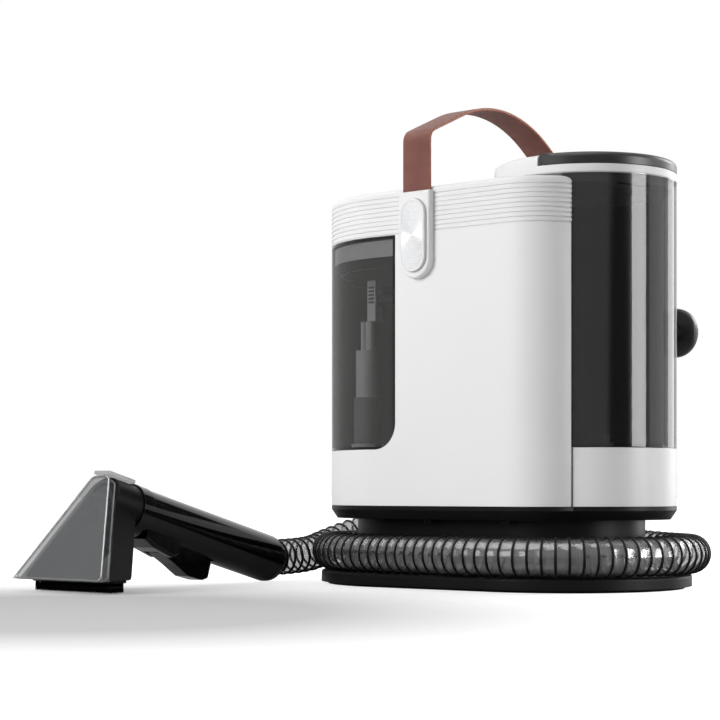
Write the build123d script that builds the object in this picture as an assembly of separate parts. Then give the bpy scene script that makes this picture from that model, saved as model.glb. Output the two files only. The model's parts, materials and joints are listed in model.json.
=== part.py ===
from build123d import *
import os
from math import cos, radians, sin, sqrt, tan

# Portable carpet cleaner: a casing on a spool-shaped base, a dirty-water tank at its round left end,
# a clean-water tank standing at its right, and a hand tool on a ribbed suction hose.
# Millimetres. The origin is on the floor under the middle of the foot, -Y is the front and +Z is up.

# Casing plan
BODY_DEPTH = 200.0
END_X = -60.0
BODY_RIGHT = 120.0
CORNER_R = 47.0
WALL = 3.0

# Clean-water tank plan
TANK_X = 85.0
TANK_R = 75.0
TANK_WALL = 2.6
BAY_GAP = 1.0

# Heights above the floor
SOLE_H = 2.0
FOOT_TOP = 12.0
NECK_TOP = 57.0
CASING_BOTTOM = 68.0
SHELF_TOP = 115.0
CROWN_BOTTOM = 293.0
CASING_TOP = 330.0
CAP_BOTTOM = 334.0
CAP_STEP = 340.0
CAP_TOP = 349.0

# Clearances
SEAT_GAP = 0.3
FIT = 0.05
SLIDE_GAP = 0.5

# Base
FOOT_SPAN = 60.0
FOOT_R = 109.0
FOOT_EDGE_R = 2.5
SOLE_INSET = 6.0
NECK_R = 74.0
NECK_SHIFT = -4.0
NECK_FLOOR = 3.0
PLINTH_CHAMFER = 5.0
PLINTH_CHAMFER_H = 7.5
PLINTH_RIM = 11.0
PLINTH_FLOOR = 3.0

# Screws of the base and casing
SCREW_R = 1.95
SCREW_HEAD_R = 4.0
SCREW_HEAD_H = 3.0
SCREW_GRIP = 22.0
SCREW_HEAD_INSET = 4.0
BOSS_R = 6.0
BASE_SCREW_X = 112.0
BASE_SCREW_Y = 25.0
CASING_SCREW_XS = (-15.0, 62.0)
CASING_SCREW_GAP = 4.0
CASING_BOSS_H = 26.0
BOSS_WEB = 5.0

# Dirty-water tank window
WINDOW_X = -37.0
WINDOW_CORNER_R = 22.0
TUB_WALL = 2.6
TUB_LID_H = 14.0
TUB_LID_T = 3.0
TUB_LID_DROP = 3.0
GASKET_H = 8.0
GASKET_WIDTH = 4.0
BULKHEAD_T = 3.0
BULKHEAD_OFFSET = 1.0
SHELF_T = 4.0

# Crown grooves
GROOVE_COUNT = 9
GROOVE_H = 1.0
GROOVE_DEPTH = 0.5
DECK_T = 7.0
CROWN_EDGE_R = 3.0
CROWN_BAY_R = 5.0

# Bay liner behind the clean-water tank
LINER_T = 2.0

# Strap and its clips
STRAP_X = -12.7
STRAP_W = 28.4
STRAP_T = 2.4
STRAP_HOLD = 34.0
STRAP_FRONT_SHOULDER_Z = 374.5
STRAP_REAR_SHOULDER_Z = 363.5
STRAP_PEAK_Y = 8.6
STRAP_PEAK_Z = 423.0
STRAP_SHOULDER_R = 10.0
STRAP_PEAK_R = 134.0
CLIP_W = 32.0
CLIP_PROUD = 6.2
CLIP_BOTTOM = 254.7
CLIP_TOP = 326.4
CLIP_EDGE_R = 2.0
CLIP_WEB = 1.0
PEG_R = 2.5
PEG_SPACING = 16.0
PEG_DROP = 10.0
CLIP_SCREW_R = 1.2
CLIP_SCREW_HEAD_R = 2.4
CLIP_SCREW_HEAD_H = 2.0
CLIP_SCREW_GRIP = 3.0
CLIP_SCREW_SIDE = 9.0
CLIP_SCREW_ZS = (264.0, 284.0)

# Power button
BUTTON_W = 25.6
BUTTON_H = 60.0
BUTTON_T = 3.2
BUTTON_PROUD = 2.8
BUTTON_EDGE_R = 0.8
BUTTON_Z = 290.0
INLAY_W = 21.2
INLAY_H = 55.6
INLAY_T = 1.0
STEM_R = 3.0
STEM_Z = 272.0
SWITCH_W = 16.0
SWITCH_H = 20.0
SWITCH_T = 14.0
SWITCH_STAND = 5.0
SWITCH_POST = 4.0

# Suction motor and fan
MOTOR_X = -40.0
MOTOR_R = 42.0
MOTOR_TOP = 70.0
SHAFT_R = 4.0
SHAFT_DEPTH = 20.0
FAN_R = 48.0
FAN_H = 28.0
FAN_WALL = 3.0
IMPELLER_R = 43.0
IMPELLER_T = 3.0
IMPELLER_LIFT = 5.0
HUB_R = 9.0
HUB_H = 14.0
BLADE_COUNT = 9
BLADE_T = 2.0
BLADE_H = 10.0

# Ducts between the hose, the dirty-water tank and the fan
DUCT_X = -12.0
DUCT_NECK_GAP = 2.0
DUCT_R = 13.0
DUCT_WALL = 2.0
DUCT_BEND_R = 16.0
PORT_Z = 245.0

# Dirty-water tank columns and float
COLUMN_X = 24.0
COLUMN_Y = 44.0
COLUMN_WALL = 2.5
COLUMN_BOTTOM = 190.0
COLUMN_GAP = 3.0
TOWER_X = -103.0
TOWER_R = 10.0
TOWER_TOP = 202.0
TOWER_RODS = ((-4.5, 2.2), (3.0, 4.0))
INTAKE_W = 9.0
INTAKE_SHIFT = 8.0
INTAKE_BOTTOM = 227.0
INTAKE_TOP = 262.0
INTAKE_WALL = 1.5
ARM_FLANGE_R = 14.0
MESH_SLOTS = 5
MESH_SLOT_H = 1.6
MESH_PITCH = 3.2
MESH_Z = 250.5
FLOAT_GAP = 0.4
FLOAT_WALL = 1.4
FLOAT_H = 40.0
LEDGE_T = 3.0
LEDGE_W = 2.0

# Clean-water tank cap, fill lid and valve
TANK_FLOOR = 3.0
CAP_SKIRT_H = 8.0
CAP_SKIRT_T = 2.2
LID_HINGE_X = 94.5
LID_BARREL_GAP = 1.2
LID_EDGE_R = 4.5
LID_TOP = 350.0
KNUCKLE_W = 29.0
KNUCKLE_GAP = 0.7
PIN_R = 1.5
PIN_LENGTH = 80.0
MOUTH_R = 60.0
MOUTH_SETBACK = 8.0
PLUG_GAP = 1.5
PLUG_H = 4.0
VALVE_X = 99.0
VALVE_R = 8.2
VALVE_TOP = 127.0
VALVE_SPIGOT = 9.0
VALVE_FLANGE_R = 12.0
VALVE_FLANGE_T = 2.5
VALVE_WALL = 2.0
PLUNGER_R = 2.5
PLUNGER_HEAD_R = 5.5
PLUNGER_HEAD_T = 3.0
PLUNGER_REACH = 1.5
SEAT_R = 11.0
SEAT_FLOOR = 3.0
SEAT_FLANGE_R = 14.0
SEAT_FLANGE_T = 1.5

# Solution pump
PUMP_L = 56.0
PUMP_W = 40.0
PUMP_EDGE_R = 5.0

# Rear fittings
GRILLE_X = -25.0
GRILLE_Z = 92.0
GRILLE_W = 64.0
GRILLE_H = 26.0
GRILLE_SLOTS = 5
GRILLE_SLOT_H = 2.6
GLAND_X = 45.0
GLAND_Z = 90.0
GLAND_R = 8.0
GLAND_PROUD = 9.0
GLAND_BORE_R = 3.5
HOOK_X = 92.0
HOOK_Z = 219.0
HOOK_R = 21.5
HOOK_T = 9.0
HOOK_REACH = 38.0
HOOK_STEM_R = 9.0
HOOK_EDGE_R = 3.0

# Hose and its socket
HOSE_R = 16.2
HOSE_BORE_R = 12.0
HOSE_VALLEY = 1.6
RIB_PITCH = 10.0
RIB_CREST = 2.2
RIB_FLANK = 1.4
HOSE_Z = 28.5
HOSE_START_X = -36.0
WIND_LEFT_R = 101.0
WIND_LEFT_FIRST = 135.0
WIND_LEFT_STEP = 30.0
WIND_LEFT_POINTS = 5
WIND_RIGHT_R = 108.5
WIND_RIGHT_FIRST = -67.5
WIND_RIGHT_STEP = 27.0
WIND_RIGHT_POINTS = 6
HOSE_FIRST_BEND_X = -94.0
HOSE_FRONT_POINTS = ((-38.0, -106.0), (12.0, -109.0), (60.0, -111.0))
HOSE_REAR_POINTS = ((58.0, 114.0, 31.0), (12.0, 121.0, 44.0), (-34.0, 125.0, 56.0), (-80.0, 125.0, 60.0))
HOSE_LEFT_POINTS = ((-125.0, 107.0, 58.5), (-165.0, 77.5, 52.0), (-190.0, 39.0, 41.0), (-199.5, 0.0, 29.0))
HOSE_LAST_BEND_Y = -37.0
BEND_SHARE = 0.45
SOCKET_STANDOFF = 19.0
SOCKET_BEND_R = 15.0
SOCKET_COLLAR_R = 15.6
SOCKET_COLLAR = 8.0
SPIGOT_GAP = 0.3
SPIGOT_WALL = 2.0
SPIGOT_LENGTH = 16.0
SOCKET_FLANGE_R = 16.0
SOCKET_FLANGE_T = 3.0

# Hand tool
TOOL_X = -191.0
HANDLE_Y = -247.0
HANDLE_Z = 63.0
HANDLE_TILT = 15.1
HANDLE_LENGTH = 160.0
HANDLE_R = 20.3
HANDLE_END_R = 20.6
HANDLE_WALL = 2.4
TAIL_STEP = 1.2
TAIL_LENGTH = 4.0
COLLAR_R = 21.0
COLLAR_LENGTH = 12.0
TOOL_SPIGOT_R = 15.0
TOOL_SPIGOT_WALL = 3.5
TOOL_SPIGOT_REACH = 8.0
LINE_R = 10.0
LINE_WALL = 1.4
LINE_OFFSET = 6.5
LINE_START = 9.0
SPRAY_VALVE_L = 15.0
SPRAY_VALVE_W = 12.0
SPRAY_VALVE_H = 4.5
SPRAY_VALVE_AT = 45.0

# Trigger housing under the handle's front, in distances along the handle and down from its axis
HOUSING_W = 30.0
HOUSING_FRONT = ((2.0, 5.0), (2.0, 22.0), (14.0, 26.5))
HOUSING_REAR = ((36.0, 29.6), (41.0, 27.0), (41.0, 5.0))
HOUSING_EDGE_R = 3.0

# Trigger, in the same distances
TRIGGER_W = 16.0
TRIGGER_GAP = 0.6
TRIGGER_FRONT = ((26.0, 10.0), (26.0, 27.0), (45.0, 32.5), (64.0, 39.0))
TRIGGER_REAR = ((81.0, 38.5), (87.0, 35.0), (87.5, 21.0), (38.0, 11.5))
TRIGGER_EDGE_R = 3.0
TRIGGER_PIVOT = (31.0, 14.0)
TRIGGER_SLOT = (23.0, 90.5)
TRIGGER_SLOT_TOP = 8.0
TRIGGER_PIN_R = 2.0
TRIGGER_PIN_L = 25.0

# Release button under the handle's collar
RELEASE_R = 5.0
RELEASE_PROUD = 3.5
RELEASE_INNER = 17.6
RELEASE_GAP = 0.3

# Nozzle head
MOUTH_Y = -335.0
MOUTH_Z = 11.0
HEAD_BOTTOM = 10.0
HEAD_SLOPE = 59.6
HEAD_LENGTH = 95.0
HEAD_MOUTH_W = 104.0
HEAD_APEX_W = 20.0
HEAD_APEX_R = 8.0
COVER_T = 9.0
COVER_FRONT = 3.0
COVER_SIDE = 4.0
CHANNEL_LENGTH = 80.0
HEAD_BACK_T = 26.0
HEAD_REAR_R = 6.0
HEAD_SKIRT = 16.0
NECK_TUBE_R = 19.5
NECK_TUBE_LENGTH = 44.0
BRUSH_W = 90.0
BRUSH_D = 18.0
BRUSH_Y = -311.0
BRUSH_BACK_T = 2.0
BRISTLE_ROWS = 8
BRISTLE_COLUMNS = 40
BRISTLE_W = 0.9
LATCH_W = 18.0
LATCH_T = 2.8
LATCH_LENGTH = 34.0
LATCH_END_R = 8.0
SPRAY_TIP_R = 5.0
SPRAY_TIP_H = 4.0
SPRAY_TIP_AT = 62.0

HALF_DEPTH = BODY_DEPTH / 2
PLINTH_FLOOR_TOP = NECK_TOP + PLINTH_FLOOR
BULKHEAD_X = WINDOW_X + BULKHEAD_OFFSET
CASING_SCREW_Y = NECK_R + SCREW_HEAD_R + CASING_SCREW_GAP
DUCT_Y = NECK_R - WALL - DUCT_R - DUCT_NECK_GAP
SOCKET_Y = NECK_R + SOCKET_STANDOFF
BEYOND = 2 * BODY_DEPTH
UP = (Align.CENTER, Align.CENTER, Align.MIN)


# Shared shapes


def prism(plan, bottom, top):
    return extrude(Pos(0, 0, bottom) * plan, top - bottom, dir=(0, 0, 1))


def disc(x, y, radius, bottom, top):
    return Pos(x, y, bottom) * Cylinder(radius, top - bottom, align=UP)


def rod(radius, start, end):
    start = Vector(*start)
    end = Vector(*end)
    return Plane(origin=start, z_dir=end - start) * Cylinder(radius, (end - start).length, align=UP)


def block(x0, x1, y0, y1, z0, z1):
    return Pos((x0 + x1) / 2, (y0 + y1) / 2, (z0 + z1) / 2) * Box(x1 - x0, y1 - y0, z1 - z0)


def stadium(radius):
    return SlotCenterToCenter(2 * FOOT_SPAN, 2 * radius)


def body_plan(inset=0.0):
    half = HALF_DEPTH - inset
    right = BODY_RIGHT - inset
    corner = CORNER_R - inset
    bend = corner * (1 - sqrt(0.5))
    outline = [
        Line((END_X, -half), (right - corner, -half)),
        ThreePointArc((right - corner, -half), (right - bend, -half + bend), (right, -half + corner)),
        Line((right, -half + corner), (right, half - corner)),
        ThreePointArc((right, half - corner), (right - bend, half - bend), (right - corner, half)),
        Line((right - corner, half), (END_X, half)),
        ThreePointArc((END_X, half), (END_X - half, 0), (END_X, -half)),
    ]
    return make_face(outline)


def tank_disc(radius, bottom, top):
    return disc(TANK_X, 0, radius, bottom, top)


def casing_ring(bottom, top):
    return prism(body_plan() - body_plan(WALL), bottom, top)


def window_prism(gap, bottom_gap):
    bottom = SHELF_TOP + bottom_gap
    top = CROWN_BOTTOM - bottom_gap
    prism_box = block(-BEYOND, WINDOW_X - gap, -BEYOND, BEYOND, bottom, top)
    corner = prism_box.edges().filter_by(Axis.Y).group_by(Axis.Z)[0].sort_by(Axis.X)[-1]
    return fillet(corner, WINDOW_CORNER_R - gap)


def pipe(points, bend, outer, inner):
    path = FilletPolyline(*points, radius=bend)
    start = Plane(path ^ 0)
    return sweep(start * Circle(outer), path=path) - sweep(start * Circle(inner), path=path)


def screw(x, y, seat, direction):
    head_end = seat - direction * SCREW_HEAD_H
    head = rod(SCREW_HEAD_R, (x, y, head_end), (x, y, seat))
    shank = rod(SCREW_R, (x, y, seat), (x, y, seat + direction * SCREW_GRIP))
    return head + shank


def base_screw_places():
    return [(x, y) for x in (-BASE_SCREW_X, BASE_SCREW_X) for y in (-BASE_SCREW_Y, BASE_SCREW_Y)]


def casing_screw_places(side):
    return [(x, side * CASING_SCREW_Y) for x in CASING_SCREW_XS]


# Base


def rubber_sole():
    sole = prism(stadium(FOOT_R - SOLE_INSET), 0, SOLE_H)
    for x, y in base_screw_places():
        sole -= disc(x, y, SCREW_HEAD_R + SEAT_GAP, 0, SOLE_H)
    return sole


def foot_plate():
    plate = prism(stadium(FOOT_R), SOLE_H, FOOT_TOP)
    plate = fillet(plate.edges().group_by(Axis.Z)[-1], FOOT_EDGE_R)
    for x, y in base_screw_places():
        plate -= disc(x, y, SCREW_HEAD_R + SEAT_GAP, SOLE_H, SOLE_H + SCREW_HEAD_INSET)
        plate -= disc(x, y, SCREW_R + SEAT_GAP, SOLE_H, FOOT_TOP)
    return plate


def base_neck():
    outer = Pos(NECK_SHIFT, 0) * stadium(NECK_R)
    inner = Pos(NECK_SHIFT, 0) * stadium(NECK_R - WALL)
    neck = prism(outer, FOOT_TOP, NECK_TOP) - prism(inner, FOOT_TOP + NECK_FLOOR, NECK_TOP)
    for x, y in base_screw_places():
        neck += disc(x, y, BOSS_R, FOOT_TOP, NECK_TOP)
    for x, y in base_screw_places():
        neck -= disc(x, y, SCREW_R + FIT, FOOT_TOP, NECK_TOP)
    return neck - rod(DUCT_R + SEAT_GAP, (DUCT_X, DUCT_Y, HOSE_Z), (DUCT_X, NECK_R + WALL, HOSE_Z))


def base_screws():
    below = [screw(x, y, SOLE_H + SCREW_HEAD_INSET, 1) for x, y in base_screw_places()]
    above = [screw(x, y, PLINTH_FLOOR_TOP, -1) for x, y in base_screw_places()]
    return Compound(below + above)


def plinth():
    flare_top = NECK_TOP + PLINTH_CHAMFER_H
    low_plan = Pos(0, 0, NECK_TOP) * body_plan(PLINTH_CHAMFER)
    high_plan = Pos(0, 0, flare_top) * body_plan()
    tray = loft([low_plan, high_plan], ruled=True) + prism(body_plan(), flare_top, CASING_BOTTOM)
    flare = Cone(TANK_R - PLINTH_CHAMFER, TANK_R, PLINTH_CHAMFER_H, align=UP)
    tray += Pos(TANK_X, 0, NECK_TOP) * flare
    tray += tank_disc(TANK_R, flare_top, CASING_BOTTOM)
    tray -= prism(body_plan(PLINTH_RIM), PLINTH_FLOOR_TOP, CASING_BOTTOM)
    tray -= tank_disc(TANK_R - PLINTH_RIM, PLINTH_FLOOR_TOP, CASING_BOTTOM)
    tray -= disc(MOTOR_X, 0, MOTOR_R + SEAT_GAP, NECK_TOP, PLINTH_FLOOR_TOP)
    tray -= disc(DUCT_X, DUCT_Y, DUCT_R + SEAT_GAP, NECK_TOP, PLINTH_FLOOR_TOP)
    for x, y in base_screw_places():
        tray -= disc(x, y, SCREW_R + SEAT_GAP, NECK_TOP, PLINTH_FLOOR_TOP)
    for x, y in casing_screw_places(-1) + casing_screw_places(1):
        tray -= disc(x, y, SCREW_R + SEAT_GAP, NECK_TOP, CASING_BOTTOM)
    return tray


# Casing


def bay_cut():
    low = tank_disc(TANK_R + SEAT_GAP, CASING_BOTTOM, SHELF_TOP)
    return low + tank_disc(TANK_R + BAY_GAP, SHELF_TOP, CASING_TOP)


def casing_half(side):
    half = casing_ring(CASING_BOTTOM, CROWN_BOTTOM) - window_prism(0, 0) - bay_cut()
    half &= block(-BEYOND, BEYOND, min(0, side * BEYOND), max(0, side * BEYOND), 0, BEYOND)
    inside = HALF_DEPTH - WALL
    boss_top = PLINTH_FLOOR_TOP + CASING_BOSS_H
    for x, y in casing_screw_places(side):
        half += disc(x, y, BOSS_R, PLINTH_FLOOR_TOP, boss_top)
        y0, y1 = sorted((y, side * (inside + FIT)))
        half += block(x - BOSS_WEB / 2, x + BOSS_WEB / 2, y0, y1, CASING_BOTTOM, boss_top)
    for x, y in casing_screw_places(side):
        half -= disc(x, y, SCREW_R + FIT, PLINTH_FLOOR_TOP, boss_top)
    for x, z in clip_screw_places():
        half -= rod(CLIP_SCREW_R + FIT, (x, side * inside, z), (x, side * HALF_DEPTH, z))
    return half


def front_cover():
    cover = casing_half(-1)
    inside = -(HALF_DEPTH - WALL)
    cover -= rod(STEM_R + SEAT_GAP, (STRAP_X, -HALF_DEPTH, STEM_Z), (STRAP_X, inside, STEM_Z))
    for side in (-1, 1):
        x = STRAP_X + side * (SWITCH_W - SWITCH_POST) / 2
        half_post = SWITCH_POST / 2
        y0 = inside - FIT
        y1 = inside + SWITCH_STAND
        cover += block(x - half_post, x + half_post, y0, y1, STEM_Z - half_post, STEM_Z + half_post)
    return cover


def grille_block(width, height, z):
    x0 = GRILLE_X - width / 2
    z0 = z - height / 2
    return block(x0, x0 + width, HALF_DEPTH - WALL, HALF_DEPTH, z0, z0 + height)


def rear_cover():
    cover = casing_half(1)
    inside = HALF_DEPTH - WALL
    cover -= grille_block(GRILLE_W, GRILLE_H, GRILLE_Z)
    return cover - rod(GLAND_R - WALL / 2 + FIT, (GLAND_X, inside, GLAND_Z), (GLAND_X, HALF_DEPTH, GLAND_Z))


def casing_screws():
    places = casing_screw_places(-1) + casing_screw_places(1)
    return Compound([screw(x, y, NECK_TOP, 1) for x, y in places])


def top_crown():
    deck_bottom = CASING_TOP - DECK_T
    crown = casing_ring(CROWN_BOTTOM, deck_bottom) + prism(body_plan(), deck_bottom, CASING_TOP)
    crown = fillet(crown.edges().group_by(Axis.Z)[-1], CROWN_EDGE_R)
    crown -= tank_disc(TANK_R + BAY_GAP, CROWN_BOTTOM, CASING_TOP)
    flare_r = TANK_R + BAY_GAP + CROWN_BAY_R
    flare_z = CASING_TOP - CROWN_BAY_R
    flare = tank_disc(flare_r, flare_z, CASING_TOP)
    crown -= flare - Pos(TANK_X, 0, flare_z) * Torus(flare_r, CROWN_BAY_R)
    pitch = (CASING_TOP - CROWN_EDGE_R - CROWN_BOTTOM) / GROOVE_COUNT
    groove = body_plan(-WALL) - body_plan(GROOVE_DEPTH)
    for index in range(GROOVE_COUNT):
        bottom = CROWN_BOTTOM + index * pitch
        crown -= prism(groove, bottom, bottom + GROOVE_H)
    return crown


def tank_pedestal():
    cup = tank_disc(TANK_R, CASING_BOTTOM, SHELF_TOP)
    cup -= tank_disc(TANK_R - WALL, CASING_BOTTOM, SHELF_TOP - SHELF_T)
    cup -= disc(VALVE_X, 0, SEAT_R + FIT, SHELF_TOP - SHELF_T, SHELF_TOP)
    return cup - disc(VALVE_X, 0, SEAT_FLANGE_R + FIT, SHELF_TOP - SEAT_FLANGE_T, SHELF_TOP)


def bay_liner():
    inner = TANK_R + BAY_GAP
    liner = tank_disc(inner + LINER_T, SHELF_TOP - SHELF_T, CASING_TOP - DECK_T)
    liner &= prism(body_plan(WALL + SEAT_GAP), 0, BEYOND)
    return liner - tank_disc(inner, SHELF_TOP - SHELF_T, CASING_TOP - DECK_T)


def bulkhead():
    reach = HALF_DEPTH - WALL - SEAT_GAP
    wall = block(BULKHEAD_X, BULKHEAD_X + BULKHEAD_T, -reach, reach, CASING_BOTTOM, CASING_TOP - DECK_T)
    fan_half = DUCT_Y + DUCT_R + FAN_WALL + SLIDE_GAP
    wall -= block(BULKHEAD_X, BULKHEAD_X + BULKHEAD_T, -fan_half, fan_half, 0, MOTOR_TOP + FAN_H + SLIDE_GAP)
    for y in (-DUCT_Y, DUCT_Y):
        wall -= rod(DUCT_R + SEAT_GAP, (BULKHEAD_X, y, PORT_Z), (BULKHEAD_X + BULKHEAD_T, y, PORT_Z))
    return wall


def tank_shelf():
    outer = WALL + SEAT_GAP
    shelf = prism(body_plan(outer), CASING_BOTTOM, SHELF_TOP)
    shelf -= prism(body_plan(outer + WALL), CASING_BOTTOM, SHELF_TOP - SHELF_T)
    return shelf & block(-BEYOND, BULKHEAD_X - SEAT_GAP, -BEYOND, BEYOND, 0, BEYOND)


# Strap, clips and power button


def front_profile(shape, depth):
    return Plane.XZ.offset(depth) * shape


def pill(height, width):
    return Pos(STRAP_X, BUTTON_Z) * SlotOverall(height, width, rotation=90)


def clip_screw_places():
    return [(STRAP_X + sign * CLIP_SCREW_SIDE, z) for sign in (-1, 1) for z in CLIP_SCREW_ZS]


def strap_clip(has_button):
    half = CLIP_W / 2
    round_z = CLIP_BOTTOM + half
    outline = Pos(STRAP_X, round_z) * Circle(half)
    outline += Pos(STRAP_X, (round_z + CLIP_TOP) / 2) * Rectangle(CLIP_W, CLIP_TOP - round_z)
    clip = extrude(front_profile(outline, HALF_DEPTH), CLIP_PROUD)
    clip = fillet(clip.edges().group_by(Axis.Y)[0], CLIP_EDGE_R)
    slot_half = STRAP_W / 2 + SEAT_GAP
    slot_depth = STRAP_T + 2 * SEAT_GAP
    slot_floor = CLIP_TOP - STRAP_HOLD - SEAT_GAP
    slot_y = -HALF_DEPTH - slot_depth
    clip -= block(STRAP_X - slot_half, STRAP_X + slot_half, slot_y, -HALF_DEPTH, slot_floor, CLIP_TOP)
    for side in (-1, 1):
        x = STRAP_X + side * PEG_SPACING / 2
        peg_z = slot_floor + PEG_DROP
        clip += rod(PEG_R, (x, -HALF_DEPTH, peg_z), (x, -HALF_DEPTH - slot_depth - CLIP_WEB / 2, peg_z))
    if has_button:
        pocket_floor = HALF_DEPTH + slot_depth + CLIP_WEB
        pocket = pill(BUTTON_H + 2 * SEAT_GAP, BUTTON_W + 2 * SEAT_GAP)
        clip -= extrude(front_profile(pocket, pocket_floor), CLIP_PROUD)
        stem_start = (STRAP_X, -HALF_DEPTH - CLIP_PROUD, STEM_Z)
        clip -= rod(STEM_R + SEAT_GAP, stem_start, (STRAP_X, -HALF_DEPTH, STEM_Z))
    for x, z in clip_screw_places():
        clip -= rod(CLIP_SCREW_R + FIT, (x, -HALF_DEPTH, z), (x, -HALF_DEPTH - CLIP_SCREW_GRIP, z))
    return clip


def strap_clip_front():
    return strap_clip(True)


def strap_clip_rear():
    return mirror(strap_clip(False), about=Plane.XZ)


def strap_screws():
    inside = HALF_DEPTH - WALL
    screws = []
    for side in (-1, 1):
        for x, z in clip_screw_places():
            seat = (x, side * inside, z)
            head = rod(CLIP_SCREW_HEAD_R, (x, side * (inside - CLIP_SCREW_HEAD_H), z), seat)
            screws.append(head + rod(CLIP_SCREW_R, seat, (x, side * (HALF_DEPTH + CLIP_SCREW_GRIP), z)))
    return Compound(screws)


def carry_strap():
    leg = HALF_DEPTH + SEAT_GAP + STRAP_T / 2
    foot = CLIP_TOP - STRAP_HOLD
    points = [
        (STRAP_X, -leg, foot),
        (STRAP_X, -leg, STRAP_FRONT_SHOULDER_Z),
        (STRAP_X, STRAP_PEAK_Y, STRAP_PEAK_Z),
        (STRAP_X, leg, STRAP_REAR_SHOULDER_Z),
        (STRAP_X, leg, foot),
    ]
    path = FilletPolyline(*points, radius=[STRAP_SHOULDER_R, STRAP_PEAK_R, STRAP_SHOULDER_R])
    section = Plane(origin=points[0], x_dir=(1, 0, 0), z_dir=(0, 0, 1)) * Rectangle(STRAP_W, STRAP_T)
    strap = sweep(section, path=path)
    peg_z = foot - SEAT_GAP + PEG_DROP
    for side in (-1, 1):
        x = STRAP_X + side * PEG_SPACING / 2
        strap -= rod(PEG_R + SEAT_GAP, (x, -leg - STRAP_T, peg_z), (x, leg + STRAP_T, peg_z))
    return strap


def button_back():
    return HALF_DEPTH + CLIP_PROUD + BUTTON_PROUD - BUTTON_T


def power_button():
    cap = extrude(front_profile(pill(BUTTON_H, BUTTON_W), button_back()), BUTTON_T)
    cap = fillet(cap.edges().group_by(Axis.Y)[0], BUTTON_EDGE_R)
    recess = pill(INLAY_H + 2 * FIT, INLAY_W + 2 * FIT)
    cap -= extrude(front_profile(recess, button_back() + BUTTON_T - INLAY_T), INLAY_T)
    stem_end = HALF_DEPTH - WALL - SWITCH_STAND
    stem_start = (STRAP_X, -button_back() - BUTTON_T / 2, STEM_Z)
    return cap + rod(STEM_R, stem_start, (STRAP_X, -stem_end - BUTTON_T, STEM_Z))


def button_inlay():
    return extrude(front_profile(pill(INLAY_H, INLAY_W), button_back() + BUTTON_T - INLAY_T), INLAY_T)


def power_switch():
    front = -(HALF_DEPTH - WALL - SWITCH_STAND)
    return Pos(STRAP_X, front + SWITCH_T / 2, STEM_Z) * Box(SWITCH_W, SWITCH_T, SWITCH_H)


# Suction motor, fan and ducts


def suction_motor():
    can = disc(MOTOR_X, 0, MOTOR_R, FOOT_TOP + NECK_FLOOR, MOTOR_TOP)
    return can - disc(MOTOR_X, 0, SHAFT_R + FIT, MOTOR_TOP - SHAFT_DEPTH, MOTOR_TOP)


def fan_housing():
    top = MOTOR_TOP + FAN_H
    snout_r = DUCT_R + FAN_WALL
    shell = disc(MOTOR_X, 0, FAN_R, MOTOR_TOP, top) + disc(DUCT_X, -DUCT_Y, snout_r, MOTOR_TOP, top)
    arm = Plane(origin=(MOTOR_X, 0, MOTOR_TOP), x_dir=(DUCT_X - MOTOR_X, -DUCT_Y, 0), z_dir=(0, 0, 1))
    arm_length = sqrt((DUCT_X - MOTOR_X) ** 2 + DUCT_Y**2)
    shell += arm * Pos(arm_length / 2, 0, 0) * Box(arm_length, 2 * snout_r, FAN_H, align=UP)
    low = MOTOR_TOP + FAN_WALL
    high = top - FAN_WALL
    shell -= disc(MOTOR_X, 0, FAN_R - FAN_WALL, low, high)
    arm_inside = Box(arm_length, 2 * DUCT_R, FAN_H - 2 * FAN_WALL, align=UP)
    shell -= arm * Pos(arm_length / 2, 0, FAN_WALL) * arm_inside
    shell -= disc(DUCT_X, -DUCT_Y, DUCT_R - DUCT_WALL, low, top)
    shell -= disc(DUCT_X, -DUCT_Y, DUCT_R + FIT, high, top)
    return shell - disc(MOTOR_X, 0, SHAFT_R + SEAT_GAP, MOTOR_TOP, low)


def impeller_base():
    return MOTOR_TOP + FAN_WALL + IMPELLER_LIFT


def motor_shaft():
    return disc(MOTOR_X, 0, SHAFT_R, MOTOR_TOP - SHAFT_DEPTH + FIT, impeller_base() + HUB_H)


def impeller():
    base = impeller_base()
    wheel = disc(MOTOR_X, 0, IMPELLER_R, base, base + IMPELLER_T)
    wheel += disc(MOTOR_X, 0, HUB_R, base, base + HUB_H)
    blade_length = IMPELLER_R - HUB_R
    for index in range(BLADE_COUNT):
        blade = Pos(HUB_R + blade_length / 2 - FIT, 0, 0) * Box(blade_length, BLADE_T, BLADE_H, align=UP)
        wheel += Pos(MOTOR_X, 0, base + IMPELLER_T - FIT) * Rot(0, 0, index * 360 / BLADE_COUNT) * blade
    return wheel - disc(MOTOR_X, 0, SHAFT_R + FIT, base, base + HUB_H)


def duct(side, bottom):
    y = side * DUCT_Y
    points = [(DUCT_X, y, bottom), (DUCT_X, y, PORT_Z), (WINDOW_X + FIT, y, PORT_Z)]
    return pipe(points, DUCT_BEND_R, DUCT_R, DUCT_R - DUCT_WALL)


def inlet_duct():
    return duct(1, HOSE_Z + DUCT_R)


def air_duct():
    return duct(-1, MOTOR_TOP + FAN_H - FAN_WALL)


# Dirty-water tank


def tub_floor():
    return SHELF_TOP + SEAT_GAP


def dirty_tank():
    outer = prism(body_plan(), 0, BEYOND) & window_prism(SLIDE_GAP, SEAT_GAP)
    inner_gap = SLIDE_GAP + TUB_WALL
    inner = prism(body_plan(TUB_WALL), tub_floor() + TUB_WALL, CROWN_BOTTOM)
    inner &= window_prism(inner_gap, 0)
    tub = outer - inner
    inner_x = WINDOW_X - inner_gap - TUB_WALL
    for side in (-1, 1):
        tub -= rod(DUCT_R - DUCT_WALL, (WINDOW_X, side * DUCT_Y, PORT_Z), (inner_x, side * DUCT_Y, PORT_Z))
    return tub


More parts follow.
